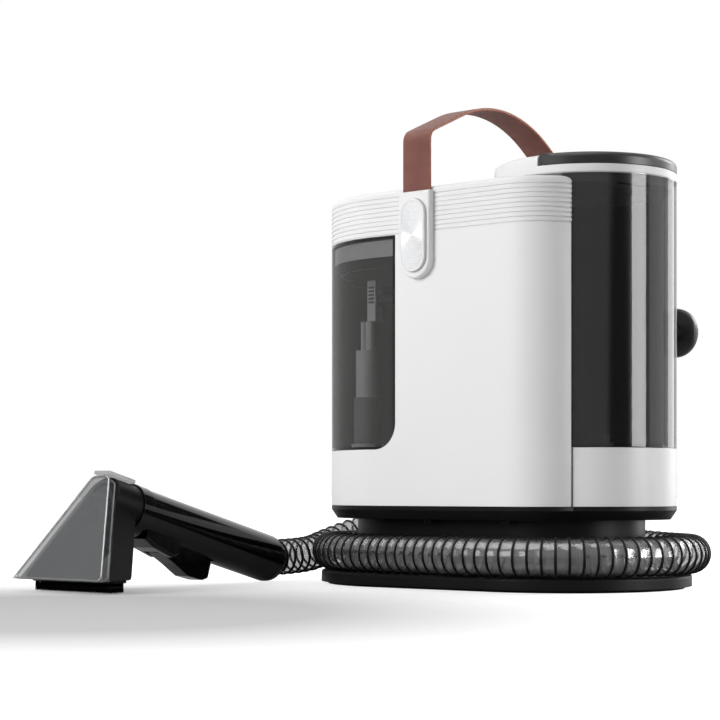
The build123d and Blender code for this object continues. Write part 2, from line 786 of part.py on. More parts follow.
def tub_plan(inset):
    edge = WINDOW_X - SLIDE_GAP - inset
    keep = Pos((edge - BEYOND) / 2, 0) * Rectangle(edge + BEYOND, BEYOND)
    return body_plan(inset) & keep


def lid_top():
    return CROWN_BOTTOM - TUB_LID_DROP


def dirty_lid():
    rim = TUB_WALL + SEAT_GAP
    bottom = lid_top() - TUB_LID_H
    lid = prism(tub_plan(rim), bottom, lid_top())
    lid -= prism(tub_plan(rim + GASKET_WIDTH + WALL), bottom, lid_top() - TUB_LID_T)
    lip = tub_plan(rim + GASKET_WIDTH) - tub_plan(rim + GASKET_WIDTH + WALL)
    return lid + prism(lip, bottom - GASKET_H, bottom)


def lid_gasket():
    bottom = lid_top() - TUB_LID_H
    ring = tub_plan(TUB_WALL + SEAT_GAP) - tub_plan(TUB_WALL + SEAT_GAP + GASKET_WIDTH - FIT)
    return prism(ring, bottom - GASKET_H, bottom)


def column_right():
    return WINDOW_X - SLIDE_GAP - TUB_WALL


def column_top():
    return lid_top() - TUB_LID_H - GASKET_H - COLUMN_GAP


def inlet_column():
    right = column_right() - FIT
    half = COLUMN_Y / 2
    column = block(right - COLUMN_X, right, DUCT_Y - half, DUCT_Y + half, COLUMN_BOTTOM, column_top())
    half -= COLUMN_WALL
    left = right - COLUMN_X + COLUMN_WALL
    hollow_floor = COLUMN_BOTTOM + COLUMN_WALL
    column -= block(left, right - COLUMN_WALL, DUCT_Y - half, DUCT_Y + half, hollow_floor, column_top())
    return column - rod(DUCT_R - DUCT_WALL, (right, DUCT_Y, PORT_Z), (right - COLUMN_X / 2, DUCT_Y, PORT_Z))


def tower_base():
    return tub_floor() + TUB_WALL + FIT


def tower_part(radius, bottom, top):
    return disc(TOWER_X, -DUCT_Y, radius, bottom, top)


def air_tower():
    right = column_right() - FIT
    y = -DUCT_Y
    tower = tower_part(TOWER_R, tower_base(), TOWER_TOP)
    tower += tower_part(TOWER_R + FLOAT_GAP + FLOAT_WALL + LEDGE_W, tower_base(), tower_base() + LEDGE_T)
    for offset, radius in TOWER_RODS:
        tower += disc(TOWER_X + offset, y, radius, TOWER_TOP - FIT, INTAKE_BOTTOM + FIT)
    x = TOWER_X + INTAKE_SHIFT
    half = INTAKE_W / 2
    tower += block(x - half, x + half, y - half, y + half, INTAKE_BOTTOM, INTAKE_TOP)
    tower += rod(half, (x, y, PORT_Z), (right, y, PORT_Z))
    tower += rod(ARM_FLANGE_R, (right - LEDGE_T, y, PORT_Z), (right, y, PORT_Z))
    half -= INTAKE_WALL
    bottom = INTAKE_BOTTOM + INTAKE_WALL
    tower -= block(x - half, x + half, y - half, y + half, bottom, INTAKE_TOP - INTAKE_WALL)
    tower -= rod(half, (x, y, PORT_Z), (right, y, PORT_Z))
    for index in range(MESH_SLOTS):
        low = MESH_Z + (index - MESH_SLOTS / 2) * MESH_PITCH
        tower -= block(x - half, x + half, y - INTAKE_W, y, low, low + MESH_SLOT_H)
    return tower


def tank_columns():
    return Compound([air_tower(), inlet_column()])


def float_collar():
    bottom = tower_base() + LEDGE_T + SEAT_GAP
    sleeve = tower_part(TOWER_R + FLOAT_GAP + FLOAT_WALL, bottom, bottom + FLOAT_H)
    return sleeve - tower_part(TOWER_R + FLOAT_GAP, bottom, bottom + FLOAT_H)


# Clean-water tank


def clean_tank():
    bottom = SHELF_TOP + SEAT_GAP
    tank = tank_disc(TANK_R, bottom, CAP_BOTTOM)
    tank -= tank_disc(TANK_R - TANK_WALL, bottom + TANK_FLOOR, CAP_BOTTOM)
    return tank - disc(VALVE_X, 0, VALVE_R + FIT, bottom, bottom + TANK_FLOOR)


def lid_axis_z():
    return (CAP_STEP + SEAT_GAP + LID_TOP) / 2


def lid_barrel_r():
    return (LID_TOP - CAP_STEP - SEAT_GAP) / 2


def mouth_plan(radius, setback):
    edge = LID_HINGE_X + setback
    keep = Pos((edge + BEYOND) / 2, 0) * Rectangle(BEYOND - edge, BEYOND)
    return (Pos(TANK_X, 0) * Circle(radius)) & keep


def knuckle_bar(radius, half):
    return rod(radius, (LID_HINGE_X, -half, lid_axis_z()), (LID_HINGE_X, half, lid_axis_z()))


def tank_cap():
    cap = tank_disc(TANK_R, CAP_BOTTOM, CAP_STEP)
    raised_right = LID_HINGE_X - lid_barrel_r() - LID_BARREL_GAP
    raised = tank_disc(TANK_R, CAP_STEP, CAP_TOP) & block(-BEYOND, raised_right, -BEYOND, BEYOND, 0, BEYOND)
    raised = fillet(raised.edges().group_by(Axis.Z)[-1].filter_by(GeomType.CIRCLE), LID_EDGE_R)
    cap += raised
    skirt_r = TANK_R - TANK_WALL - SEAT_GAP
    skirt_bottom = CAP_BOTTOM - CAP_SKIRT_H
    cap += tank_disc(skirt_r, skirt_bottom, CAP_BOTTOM)
    cap -= tank_disc(skirt_r - CAP_SKIRT_T, skirt_bottom, CAP_BOTTOM)
    cap -= prism(mouth_plan(MOUTH_R, MOUTH_SETBACK), CAP_BOTTOM, CAP_STEP)
    half = KNUCKLE_W / 2
    cap += knuckle_bar(lid_barrel_r(), half)
    cap += block(raised_right - WALL, LID_HINGE_X, -half, half, CAP_STEP, lid_axis_z())
    return cap - knuckle_bar(PIN_R + FIT, PIN_LENGTH / 2)


def fill_lid():
    bottom = CAP_STEP + SEAT_GAP
    lid = tank_disc(TANK_R, bottom, LID_TOP) & block(LID_HINGE_X, BEYOND, -BEYOND, BEYOND, 0, BEYOND)
    lid = fillet(lid.edges().group_by(Axis.Z)[-1].filter_by(GeomType.CIRCLE), LID_EDGE_R)
    lid += knuckle_bar(lid_barrel_r(), BEYOND) & tank_disc(TANK_R, bottom, LID_TOP)
    half = KNUCKLE_W / 2 + KNUCKLE_GAP
    reach = lid_barrel_r() + KNUCKLE_GAP
    lid -= block(LID_HINGE_X - 2 * reach, LID_HINGE_X + reach, -half, half, 0, BEYOND)
    return lid - knuckle_bar(PIN_R + FIT, PIN_LENGTH / 2)


def lid_pin():
    return knuckle_bar(PIN_R, PIN_LENGTH / 2)


def lid_plug():
    top = CAP_STEP + SEAT_GAP
    return prism(mouth_plan(MOUTH_R - PLUG_GAP, MOUTH_SETBACK + PLUG_GAP), top - PLUG_H, top)


def valve_bottom():
    return SHELF_TOP + SEAT_GAP - VALVE_SPIGOT


def valve_body():
    floor_top = SHELF_TOP + SEAT_GAP + TANK_FLOOR
    bottom = valve_bottom()
    body = disc(VALVE_X, 0, VALVE_R, bottom, VALVE_TOP)
    body += disc(VALVE_X, 0, VALVE_FLANGE_R, floor_top, floor_top + VALVE_FLANGE_T)
    body -= disc(VALVE_X, 0, VALVE_R - VALVE_WALL, bottom + VALVE_WALL, VALVE_TOP - VALVE_WALL)
    body -= disc(VALVE_X, 0, PLUNGER_R + FIT, bottom, bottom + VALVE_WALL)
    return body - disc(VALVE_X, 0, PLUNGER_R + FIT, VALVE_TOP - VALVE_WALL, VALVE_TOP)


def valve_plunger():
    bottom = valve_bottom()
    seat = bottom + VALVE_WALL
    stem = disc(VALVE_X, 0, PLUNGER_R, bottom - PLUNGER_REACH, VALVE_TOP - VALVE_WALL / 2)
    return stem + disc(VALVE_X, 0, PLUNGER_HEAD_R, seat + FIT, seat + FIT + PLUNGER_HEAD_T)


def valve_seat():
    bottom = valve_bottom() - PLUNGER_REACH - SEAT_GAP - SEAT_FLOOR
    cup = disc(VALVE_X, 0, SEAT_R, bottom, SHELF_TOP)
    cup += disc(VALVE_X, 0, SEAT_FLANGE_R, SHELF_TOP - SEAT_FLANGE_T, SHELF_TOP)
    return cup - disc(VALVE_X, 0, VALVE_R + SEAT_GAP, bottom + SEAT_FLOOR, SHELF_TOP)


def solution_pump():
    top = valve_bottom() - PLUNGER_REACH - SEAT_GAP - SEAT_FLOOR
    body = block(VALVE_X - PUMP_L / 2, VALVE_X + PUMP_L / 2, -PUMP_W / 2, PUMP_W / 2, PLINTH_FLOOR_TOP, top)
    return fillet(body.edges().filter_by(Axis.Z), PUMP_EDGE_R)


# Rear fittings


def exhaust_grille():
    plate = grille_block(GRILLE_W - 2 * FIT, GRILLE_H - 2 * FIT, GRILLE_Z)
    pitch = GRILLE_H / GRILLE_SLOTS
    for index in range(GRILLE_SLOTS):
        z = GRILLE_Z + (index - (GRILLE_SLOTS - 1) / 2) * pitch
        plate -= grille_block(GRILLE_W - 2 * WALL, GRILLE_SLOT_H, z)
    return plate


def cord_gland():
    inside = HALF_DEPTH - WALL
    bush = rod(GLAND_R, (GLAND_X, HALF_DEPTH, GLAND_Z), (GLAND_X, HALF_DEPTH + GLAND_PROUD, GLAND_Z))
    bush += rod(GLAND_R - WALL / 2, (GLAND_X, inside, GLAND_Z), (GLAND_X, HALF_DEPTH, GLAND_Z))
    return bush - rod(GLAND_BORE_R, (GLAND_X, inside, GLAND_Z), (GLAND_X, HALF_DEPTH + GLAND_PROUD, GLAND_Z))


def cord_hook():
    reach = HALF_DEPTH + HOOK_REACH
    head = rod(HOOK_R, (HOOK_X, reach - HOOK_T, HOOK_Z), (HOOK_X, reach, HOOK_Z))
    head = fillet(head.edges(), HOOK_EDGE_R)
    stem = rod(HOOK_STEM_R, (HOOK_X, HALF_DEPTH - CORNER_R / 2, HOOK_Z), (HOOK_X, reach - HOOK_T / 2, HOOK_Z))
    return head + (stem - prism(body_plan(-FIT), 0, BEYOND))


# Hose and socket


def duct_block(half, bottom, top):
    return block(DUCT_X - half, DUCT_X + half, DUCT_Y - half, DUCT_Y + half, bottom, top)


def hose_socket():
    floor = FOOT_TOP + NECK_FLOOR
    top = HOSE_Z + DUCT_R
    inner = DUCT_R - DUCT_WALL
    chamber = duct_block(DUCT_R, floor, top)
    pipe_start = (DUCT_X, DUCT_Y + inner, HOSE_Z)
    collar_start = (HOSE_START_X + SOCKET_COLLAR, SOCKET_Y, HOSE_Z)
    hose_start = (HOSE_START_X, SOCKET_Y, HOSE_Z)
    spigot_end = (HOSE_START_X - SPIGOT_LENGTH, SOCKET_Y, HOSE_Z)
    path = FilletPolyline(pipe_start, (DUCT_X, SOCKET_Y, HOSE_Z), spigot_end, radius=SOCKET_BEND_R)
    spigot_r = HOSE_BORE_R - SPIGOT_GAP
    neck_pipe = FilletPolyline(pipe_start, (DUCT_X, SOCKET_Y, HOSE_Z), hose_start, radius=SOCKET_BEND_R)
    socket = chamber + sweep(Plane(neck_pipe ^ 0) * Circle(DUCT_R), path=neck_pipe)
    socket += rod(SOCKET_COLLAR_R, collar_start, hose_start)
    socket += rod(SOCKET_FLANGE_R, (DUCT_X, NECK_R, HOSE_Z), (DUCT_X, NECK_R + SOCKET_FLANGE_T, HOSE_Z))
    socket += rod(spigot_r, collar_start, spigot_end)
    socket -= sweep(Plane(path ^ 0) * Circle(spigot_r - SPIGOT_WALL), path=path)
    hollow = duct_block(inner, floor + DUCT_WALL, top - DUCT_WALL)
    return socket - hollow - disc(DUCT_X, DUCT_Y, inner, HOSE_Z, top)


def turn_points(centre_x, radius, first, step, count):
    reach = radius / cos(radians(step / 2))
    angles = [radians(first + index * step) for index in range(count)]
    return [(centre_x + reach * cos(angle), reach * sin(angle), HOSE_Z) for angle in angles]


def hose_points():
    points = [(HOSE_START_X, SOCKET_Y, HOSE_Z), (HOSE_FIRST_BEND_X, SOCKET_Y, HOSE_Z)]
    points += turn_points(-FOOT_SPAN, WIND_LEFT_R, WIND_LEFT_FIRST, WIND_LEFT_STEP, WIND_LEFT_POINTS)
    points += [(x, y, HOSE_Z) for x, y in HOSE_FRONT_POINTS]
    points += turn_points(FOOT_SPAN, WIND_RIGHT_R, WIND_RIGHT_FIRST, WIND_RIGHT_STEP, WIND_RIGHT_POINTS)
    points += [*HOSE_REAR_POINTS, *HOSE_LEFT_POINTS]
    tail = tail_end()
    return points + [(tail.X, HOSE_LAST_BEND_Y, tail.Z), (tail.X, tail.Y, tail.Z)]


def bend_radii(points):
    radii = []
    for before, point, after in zip(points, points[1:], points[2:]):
        run_in = Vector(*point) - Vector(*before)
        run_out = Vector(*after) - Vector(*point)
        shorter = min(run_in.length, run_out.length)
        radii.append(BEND_SHARE * shorter / tan(radians(run_in.get_angle(run_out)) / 2))
    return radii


def hose_path():
    points = hose_points()
    radii = bend_radii(points)
    print("hose bend radii", [round(radius) for radius in radii])
    return FilletPolyline(*points, radius=radii)


def hose_plane(path, distance):
    along = path.tangent_at(distance, PositionMode.LENGTH)
    across = Vector(0, 0, 1).cross(along)
    return Plane(origin=path.position_at(distance, PositionMode.LENGTH), x_dir=across, z_dir=along)


def print_hose_gap(path):
    steps = int(path.length / RIB_PITCH)
    places = [path.position_at(index * RIB_PITCH, PositionMode.LENGTH) for index in range(steps)]
    apart = int(4 * HOSE_R / RIB_PITCH) + 1
    gaps = [(b - a).length - 2 * HOSE_R for index, a in enumerate(places) for b in places[index + apart:]]
    print("hose length", round(path.length), "least gap to itself", round(min(gaps), 2))


def suction_hose():
    path = hose_path()
    print_hose_gap(path)
    valley = HOSE_R - HOSE_VALLEY
    count = int((path.length - RIB_PITCH) / RIB_PITCH)
    margin = (path.length - count * RIB_PITCH) / 2
    rings = [(0.0, valley)]
    for index in range(count):
        start = margin + index * RIB_PITCH
        crest = start + RIB_FLANK
        fall = crest + RIB_CREST
        rings += [(start, valley), (crest, HOSE_R), (fall, HOSE_R), (fall + RIB_FLANK, valley)]
    rings.append((path.length, valley))
    sections = [hose_plane(path, distance) * Circle(radius) for distance, radius in rings]
    wall = loft(sections, ruled=True)
    # A wall that comes out inside out is made again from its other end
    if wall.volume < 0:
        wall = loft(sections[::-1], ruled=True)
    bore = sweep(hose_plane(path, 0) * Circle(HOSE_BORE_R), path=path)
    return wall - bore


# Hand tool


def handle_frame():
    tilt = radians(HANDLE_TILT)
    return Plane(origin=(TOOL_X, HANDLE_Y, HANDLE_Z), x_dir=(1, 0, 0), z_dir=(0, cos(tilt), -sin(tilt)))


def tail_centre():
    return handle_frame().from_local_coords(Vector(0, 0, HANDLE_LENGTH))


def tail_end():
    return tail_centre() + Vector(0, TAIL_LENGTH, 0)


def pivot_rod(radius):
    along, down = TRIGGER_PIVOT
    half = TRIGGER_PIN_L / 2
    return handle_frame() * rod(radius, (-half, down, along), (half, down, along))


def side_profile(outline, width):
    outline = mirror(outline, about=Plane.XZ)
    side_plane = Plane(origin=(-width / 2, 0, 0), x_dir=(0, 0, 1), z_dir=(1, 0, 0))
    return extrude(side_plane * outline, width, dir=(1, 0, 0))


def trigger_housing():
    housing = side_profile(Polygon(*HOUSING_FRONT, *HOUSING_REAR, align=None), HOUSING_W)
    side_faces = housing.faces().filter_by(Axis.X)
    deepest = side_faces.edges().filter_by(lambda edge: edge.center().Y > HOUSING_FRONT[1][1])
    return fillet(deepest, HOUSING_EDGE_R)


def handle_half(side):
    shell = Cone(HANDLE_R, HANDLE_END_R, HANDLE_LENGTH, align=UP) + trigger_housing()
    shell -= Cone(HANDLE_R - HANDLE_WALL, HANDLE_END_R - HANDLE_WALL, HANDLE_LENGTH, align=UP)
    slot_half = TRIGGER_W / 2 + TRIGGER_GAP
    shell -= block(-slot_half, slot_half, TRIGGER_SLOT_TOP, 2 * HANDLE_R, *TRIGGER_SLOT)
    shell &= block(min(0, side * BEYOND), max(0, side * BEYOND), -BEYOND, BEYOND, 0, BEYOND)
    return handle_frame() * shell - pivot_rod(TRIGGER_PIN_R + FIT)


def handle_left():
    return handle_half(-1)


def handle_right():
    return handle_half(1)


def tail_rod(radius, start, length):
    centre = tail_centre() + Vector(0, start, 0)
    return rod(radius, tuple(centre), tuple(centre + Vector(0, length, 0)))


def handle_end():
    ball_place = handle_frame() * Pos(0, 0, HANDLE_LENGTH)
    ball = ball_place * Sphere(HANDLE_END_R)
    end_y = tail_end().Y
    tail = ball + tail_rod(HANDLE_END_R - TAIL_STEP, 0, TAIL_LENGTH)
    tail -= ball_place * Sphere(HANDLE_END_R - HANDLE_WALL)
    tail += tail_rod(HANDLE_END_R - TAIL_STEP, TAIL_LENGTH - HANDLE_WALL, HANDLE_WALL)
    tail &= block(-BEYOND, BEYOND, -BEYOND, end_y, -BEYOND, BEYOND)
    spigot_r = HOSE_BORE_R - SPIGOT_GAP
    tail += tail_rod(spigot_r, TAIL_LENGTH - HANDLE_WALL, HANDLE_WALL + SPIGOT_LENGTH)
    tail -= tail_rod(spigot_r - SPIGOT_WALL, 0, TAIL_LENGTH + SPIGOT_LENGTH)
    return tail - handle_frame() * block(-BEYOND, BEYOND, -BEYOND, BEYOND, -BEYOND, HANDLE_LENGTH)


def handle_collar():
    bore = TOOL_SPIGOT_R + SEAT_GAP
    ring = Cylinder(COLLAR_R, COLLAR_LENGTH, align=UP) - Cylinder(bore, COLLAR_LENGTH, align=UP)
    ring = handle_frame() * Pos(0, 0, -COLLAR_LENGTH) * ring
    return ring - release_rod(RELEASE_R + RELEASE_GAP, 0)


def release_rod(radius, start):
    middle = -COLLAR_LENGTH / 2
    return handle_frame() * rod(radius, (0, start, middle), (0, COLLAR_R + RELEASE_PROUD, middle))


def release_button():
    return release_rod(RELEASE_R, RELEASE_INNER)


def suction_line():
    length = HANDLE_LENGTH - LINE_START
    tube = Cylinder(LINE_R, length, align=UP) - Cylinder(LINE_R - LINE_WALL, length, align=UP)
    return handle_frame() * Pos(0, -LINE_OFFSET, LINE_START) * tube


def spray_valve():
    top = LINE_R - LINE_OFFSET + SEAT_GAP
    half = SPRAY_VALVE_W / 2
    end = SPRAY_VALVE_AT + SPRAY_VALVE_L
    return handle_frame() * block(-half, half, top, top + SPRAY_VALVE_H, SPRAY_VALVE_AT, end)


def trigger():
    outline = Polygon(*TRIGGER_FRONT, *TRIGGER_REAR, align=None)
    lever = side_profile(fillet(outline.vertices(), TRIGGER_EDGE_R), TRIGGER_W)
    return handle_frame() * lever - pivot_rod(TRIGGER_PIN_R + FIT)


def trigger_pin():
    return pivot_rod(TRIGGER_PIN_R)


def head_frame():
    slope = radians(HEAD_SLOPE)
    return Plane(origin=(TOOL_X, MOUTH_Y, MOUTH_Z), x_dir=(1, 0, 0), z_dir=(0, -sin(slope), cos(slope)))


def head_slab(near, far, inset, length):
    taper = (HEAD_APEX_W - HEAD_MOUTH_W) / 2 / HEAD_LENGTH
    low = HEAD_MOUTH_W / 2 - inset - taper * HEAD_SKIRT
    high = HEAD_MOUTH_W / 2 - inset + taper * length
    plan = Polygon((-low, -HEAD_SKIRT), (low, -HEAD_SKIRT), (high, length), (-high, length), align=None)
    plan = fillet(plan.vertices().group_by(Axis.Y)[-1], HEAD_APEX_R)
    slab = head_frame() * Pos(0, 0, -far) * extrude(plan, far - near, dir=(0, 0, 1))
    return slab - block(-BEYOND, BEYOND, -BEYOND, BEYOND, -BEYOND, HEAD_BOTTOM)


def nozzle_cover():
    return head_slab(0, COVER_T, 0, HEAD_LENGTH) - head_slab(COVER_FRONT, COVER_T, COVER_SIDE, CHANNEL_LENGTH)


def nozzle_body():
    body = head_slab(COVER_T, COVER_T + HEAD_BACK_T, 0, HEAD_LENGTH)
    bottom_edges = body.edges().filter_by(Axis.X).group_by(Axis.Z)[0]
    body = fillet(bottom_edges.sort_by(Axis.Y)[-1], HEAD_REAR_R)
    neck_length = NECK_TUBE_LENGTH - COLLAR_LENGTH - SEAT_GAP
    body += handle_frame() * Pos(0, 0, -NECK_TUBE_LENGTH) * Cylinder(NECK_TUBE_R, neck_length, align=UP)
    spigot_length = NECK_TUBE_LENGTH + TOOL_SPIGOT_REACH
    spigot_place = handle_frame() * Pos(0, 0, -NECK_TUBE_LENGTH)
    body += spigot_place * Cylinder(TOOL_SPIGOT_R, spigot_length, align=UP)
    body -= spigot_place * Pos(0, 0, -HEAD_LENGTH) * Cylinder(
        TOOL_SPIGOT_R - TOOL_SPIGOT_WALL, spigot_length + HEAD_LENGTH, align=UP
    )
    return body - head_frame() * block(-BEYOND, BEYOND, -BEYOND, BEYOND, -COVER_T, BEYOND)


def cover_latch():
    half = LATCH_W / 2
    bottom = NECK_TUBE_R + SEAT_GAP
    end = -COLLAR_LENGTH - SEAT_GAP
    tab = block(-half, half, -bottom - LATCH_T, -bottom, end - LATCH_LENGTH, end)
    tab = fillet(tab.edges().filter_by(Axis.Y).group_by(Axis.Z)[-1], LATCH_END_R)
    return handle_frame() * tab - head_slab(0, COVER_T + HEAD_BACK_T, 0, HEAD_LENGTH)


def brush_strip():
    top = HEAD_BOTTOM
    half_w = BRUSH_W / 2
    y0 = BRUSH_Y - BRUSH_D / 2
    y1 = BRUSH_Y + BRUSH_D / 2
    backing = block(TOOL_X - half_w, TOOL_X + half_w, y0, y1, top - BRUSH_BACK_T, top)
    spacing_x = BRUSH_W / BRISTLE_COLUMNS
    spacing_y = BRUSH_D / BRISTLE_ROWS
    places = GridLocations(spacing_x, spacing_y, BRISTLE_COLUMNS, BRISTLE_ROWS)
    length = top - BRUSH_BACK_T + FIT
    strand = Box(BRISTLE_W, BRISTLE_W, length, align=UP)
    strands = [Pos(TOOL_X, BRUSH_Y, 0) * place * strand for place in places]
    return backing.fuse(*strands)


def spray_tip():
    tip = Cylinder(SPRAY_TIP_R, SPRAY_TIP_H, align=UP)
    return head_frame() * Pos(0, SPRAY_TIP_AT, -COVER_T) * tip


NODES = [
    rubber_sole, foot_plate, base_neck, base_screws, plinth, front_cover, rear_cover, casing_screws,
    top_crown, tank_pedestal, bay_liner, bulkhead, tank_shelf, strap_clip_front, strap_clip_rear,
    strap_screws, carry_strap, power_button, button_inlay, power_switch, suction_motor, fan_housing,
    motor_shaft, impeller, inlet_duct, air_duct, dirty_tank, dirty_lid, lid_gasket, tank_columns,
    float_collar, clean_tank, tank_cap, fill_lid, lid_pin, lid_plug, valve_body, valve_plunger,
    valve_seat, solution_pump, exhaust_grille, cord_gland, cord_hook, hose_socket, suction_hose,
    handle_left, handle_right, handle_end, handle_collar, release_button, suction_line, spray_valve,
    trigger, trigger_pin, nozzle_cover, nozzle_body, cover_latch, brush_strip, spray_tip,
]

os.makedirs("parts", exist_ok=True)
for make in NODES:
    export_step(make(), f"parts/{make.__name__}.step")
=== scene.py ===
import json
import math

import bpy
import bmesh
from mathutils import Matrix, Vector


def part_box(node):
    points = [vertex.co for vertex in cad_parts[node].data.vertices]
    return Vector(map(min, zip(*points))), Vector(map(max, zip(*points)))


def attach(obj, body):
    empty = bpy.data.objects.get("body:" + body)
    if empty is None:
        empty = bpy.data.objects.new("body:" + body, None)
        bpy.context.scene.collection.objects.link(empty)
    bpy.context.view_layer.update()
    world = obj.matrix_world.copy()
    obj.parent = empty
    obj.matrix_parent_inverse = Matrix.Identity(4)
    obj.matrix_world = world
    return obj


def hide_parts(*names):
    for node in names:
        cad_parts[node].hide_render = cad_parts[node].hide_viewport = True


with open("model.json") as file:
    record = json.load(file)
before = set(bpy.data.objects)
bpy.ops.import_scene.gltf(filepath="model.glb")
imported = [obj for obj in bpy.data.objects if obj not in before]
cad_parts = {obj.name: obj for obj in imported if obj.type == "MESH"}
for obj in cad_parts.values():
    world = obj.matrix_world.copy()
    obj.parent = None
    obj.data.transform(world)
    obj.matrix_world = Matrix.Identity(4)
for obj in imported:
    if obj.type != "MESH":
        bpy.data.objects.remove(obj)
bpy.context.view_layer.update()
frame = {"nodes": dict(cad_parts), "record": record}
nodes = frame["nodes"]
scene = bpy.context.scene

# Photograph's camera, in metres and pixels of a 720 by 720 picture
CAMERA_PLACE = (0.97770, -1.36878, 0.08287)
CAMERA_AZIMUTH = math.radians(39.68)
FOCAL_PIXELS = 1957.19
FRAME_PIXELS = 720
SENSOR_MM = 36.0
CAMERA_SHIFT_Y = 0.17772

# Middle of the hand tool
TOOL_X = -0.191

# Bay round the clean-water tank, and the band over which painted shade turns its walls dark
TANK_X = 0.085
BAY_R = 0.076
BAY_SHADE_FULL = 0.0004
BAY_SHADE_END = 0.0008

# Right side of the air tower, where its arm starts and painted shade darkens it
ARM_X = -0.0903
ARM_BLUR = 0.0002

# Moulded edges catch the light over this width
EDGE_SOFTNESS = 0.0008

# Share of a noise at which a finish has its low and its high value
MOTTLE_LOW = 0.3
MOTTLE_HIGH = 0.7

# Sockets of a mix node for colours
MIX_FIRST = 6
MIX_SECOND = 7
MIX_RESULT = 2


# Node helpers


def new_material(name):
    material = bpy.data.materials.new(name)
    material.use_nodes = True
    tree = material.node_tree
    shader = tree.nodes["Principled BSDF"]
    return material, tree, shader


def link(tree, out_node, out_socket, in_node, in_socket):
    tree.links.new(out_node.outputs[out_socket], in_node.inputs[in_socket])


def noise(tree, scale, detail):
    place = tree.nodes.new("ShaderNodeTexCoord")
    node = tree.nodes.new("ShaderNodeTexNoise")
    node.inputs["Scale"].default_value = scale
    node.inputs["Detail"].default_value = detail
    link(tree, place, "Object", node, "Vector")
    return node


def ramp(tree, source, socket, low, high, low_at=MOTTLE_LOW, high_at=MOTTLE_HIGH):
    """A colour that goes from low to high with a socket's value."""
    node = tree.nodes.new("ShaderNodeValToRGB")
    node.color_ramp.elements[0].position = low_at
    node.color_ramp.elements[0].color = low
    node.color_ramp.elements[1].position = high_at
    node.color_ramp.elements[1].color = high
    link(tree, source, socket, node, "Fac")
    return node


def grey(value):
    return (value, value, value, 1.0)


def bump(tree, source, socket, shader, strength, distance):
    node = tree.nodes.new("ShaderNodeBump")
    node.inputs["Strength"].default_value = strength
    node.inputs["Distance"].default_value = distance
    link(tree, source, socket, node, "Height")
    link(tree, node, "Normal", shader, "Normal")
    return node


def math_node(tree, operation, first, second):
    """A sum on two sockets, or on a socket and a number."""
    node = tree.nodes.new("ShaderNodeMath")
    node.operation = operation
    tree.links.new(first, node.inputs[0])
    if isinstance(second, (int, float)):
        node.inputs[1].default_value = second
    else:
        tree.links.new(second, node.inputs[1])
    return node.outputs[0]


def map_range(tree, value, from_min, from_max, to_min, to_max):
    node = tree.nodes.new("ShaderNodeMapRange")
    node.inputs["From Min"].default_value = from_min
    node.inputs["From Max"].default_value = from_max
    node.inputs["To Min"].default_value = to_min
    node.inputs["To Max"].default_value = to_max
    tree.links.new(value, node.inputs["Value"])
    return node.outputs["Result"]


def soften_edges(tree, surface):
    """Rounds the edges that the light catches, under a bump."""
    edge = tree.nodes.new("ShaderNodeBevel")
    edge.inputs["Radius"].default_value = EDGE_SOFTNESS
    link(tree, edge, "Normal", surface, "Normal")


# Finishes

MOTTLE_SCALE = 9.0
GRAIN_DEPTH = 0.0002
FLOW_SCALE = 14.0
RIPPLE_SCALE = 35.0
RIPPLE_STRENGTH = 0.02
RIPPLE_DEPTH = 0.0005
HIDE_SCALE = 1100.0
HIDE_STRENGTH = 0.35
HIDE_DEPTH = 0.0003
SPUN_SCALE = 2600.0
SPUN_STRENGTH = 0.12
SPUN_DEPTH = 0.0001
SCRATCH_SCALE = 700.0


def plastic(name, low, high, rough_low, rough_high, scale=900.0, strength=0.05, coat=0.0, specular=0.5):
    """Moulded plastic: a faint mottle in colour and gloss, and a fine moulded grain."""
    material, tree, shader = new_material(name)
    shader.inputs["Specular IOR Level"].default_value = specular
    broad = noise(tree, MOTTLE_SCALE, 3.0)
    link(tree, ramp(tree, broad, "Fac", low, high), "Color", shader, "Base Color")
    link(tree, ramp(tree, broad, "Fac", grey(rough_low), grey(rough_high)), "Color", shader, "Roughness")
    soften_edges(tree, bump(tree, noise(tree, scale, 2.0), "Fac", shader, strength, GRAIN_DEPTH))
    shader.inputs["Coat Weight"].default_value = coat
    shader.inputs["Coat Roughness"].default_value = 0.08
    return material


def see_through(name, colour, alpha_low, alpha_high, rough_low, rough_high, specular, ior=1.5):
    """Clear or smoked plastic: faint flow marks vary how much shows through it."""
    material, tree, shader = new_material(name)
    shader.inputs["Base Color"].default_value = colour
    shader.inputs["Specular IOR Level"].default_value = specular
    shader.inputs["IOR"].default_value = ior
    flow = noise(tree, FLOW_SCALE, 3.0)
    link(tree, ramp(tree, flow, "Fac", grey(alpha_low), grey(alpha_high)), "Color", shader, "Alpha")
    link(tree, ramp(tree, flow, "Fac", grey(rough_low), grey(rough_high)), "Color", shader, "Roughness")
    ripple = noise(tree, RIPPLE_SCALE, 1.0)
    soften_edges(tree, bump(tree, ripple, "Fac", shader, RIPPLE_STRENGTH, RIPPLE_DEPTH))
    return material


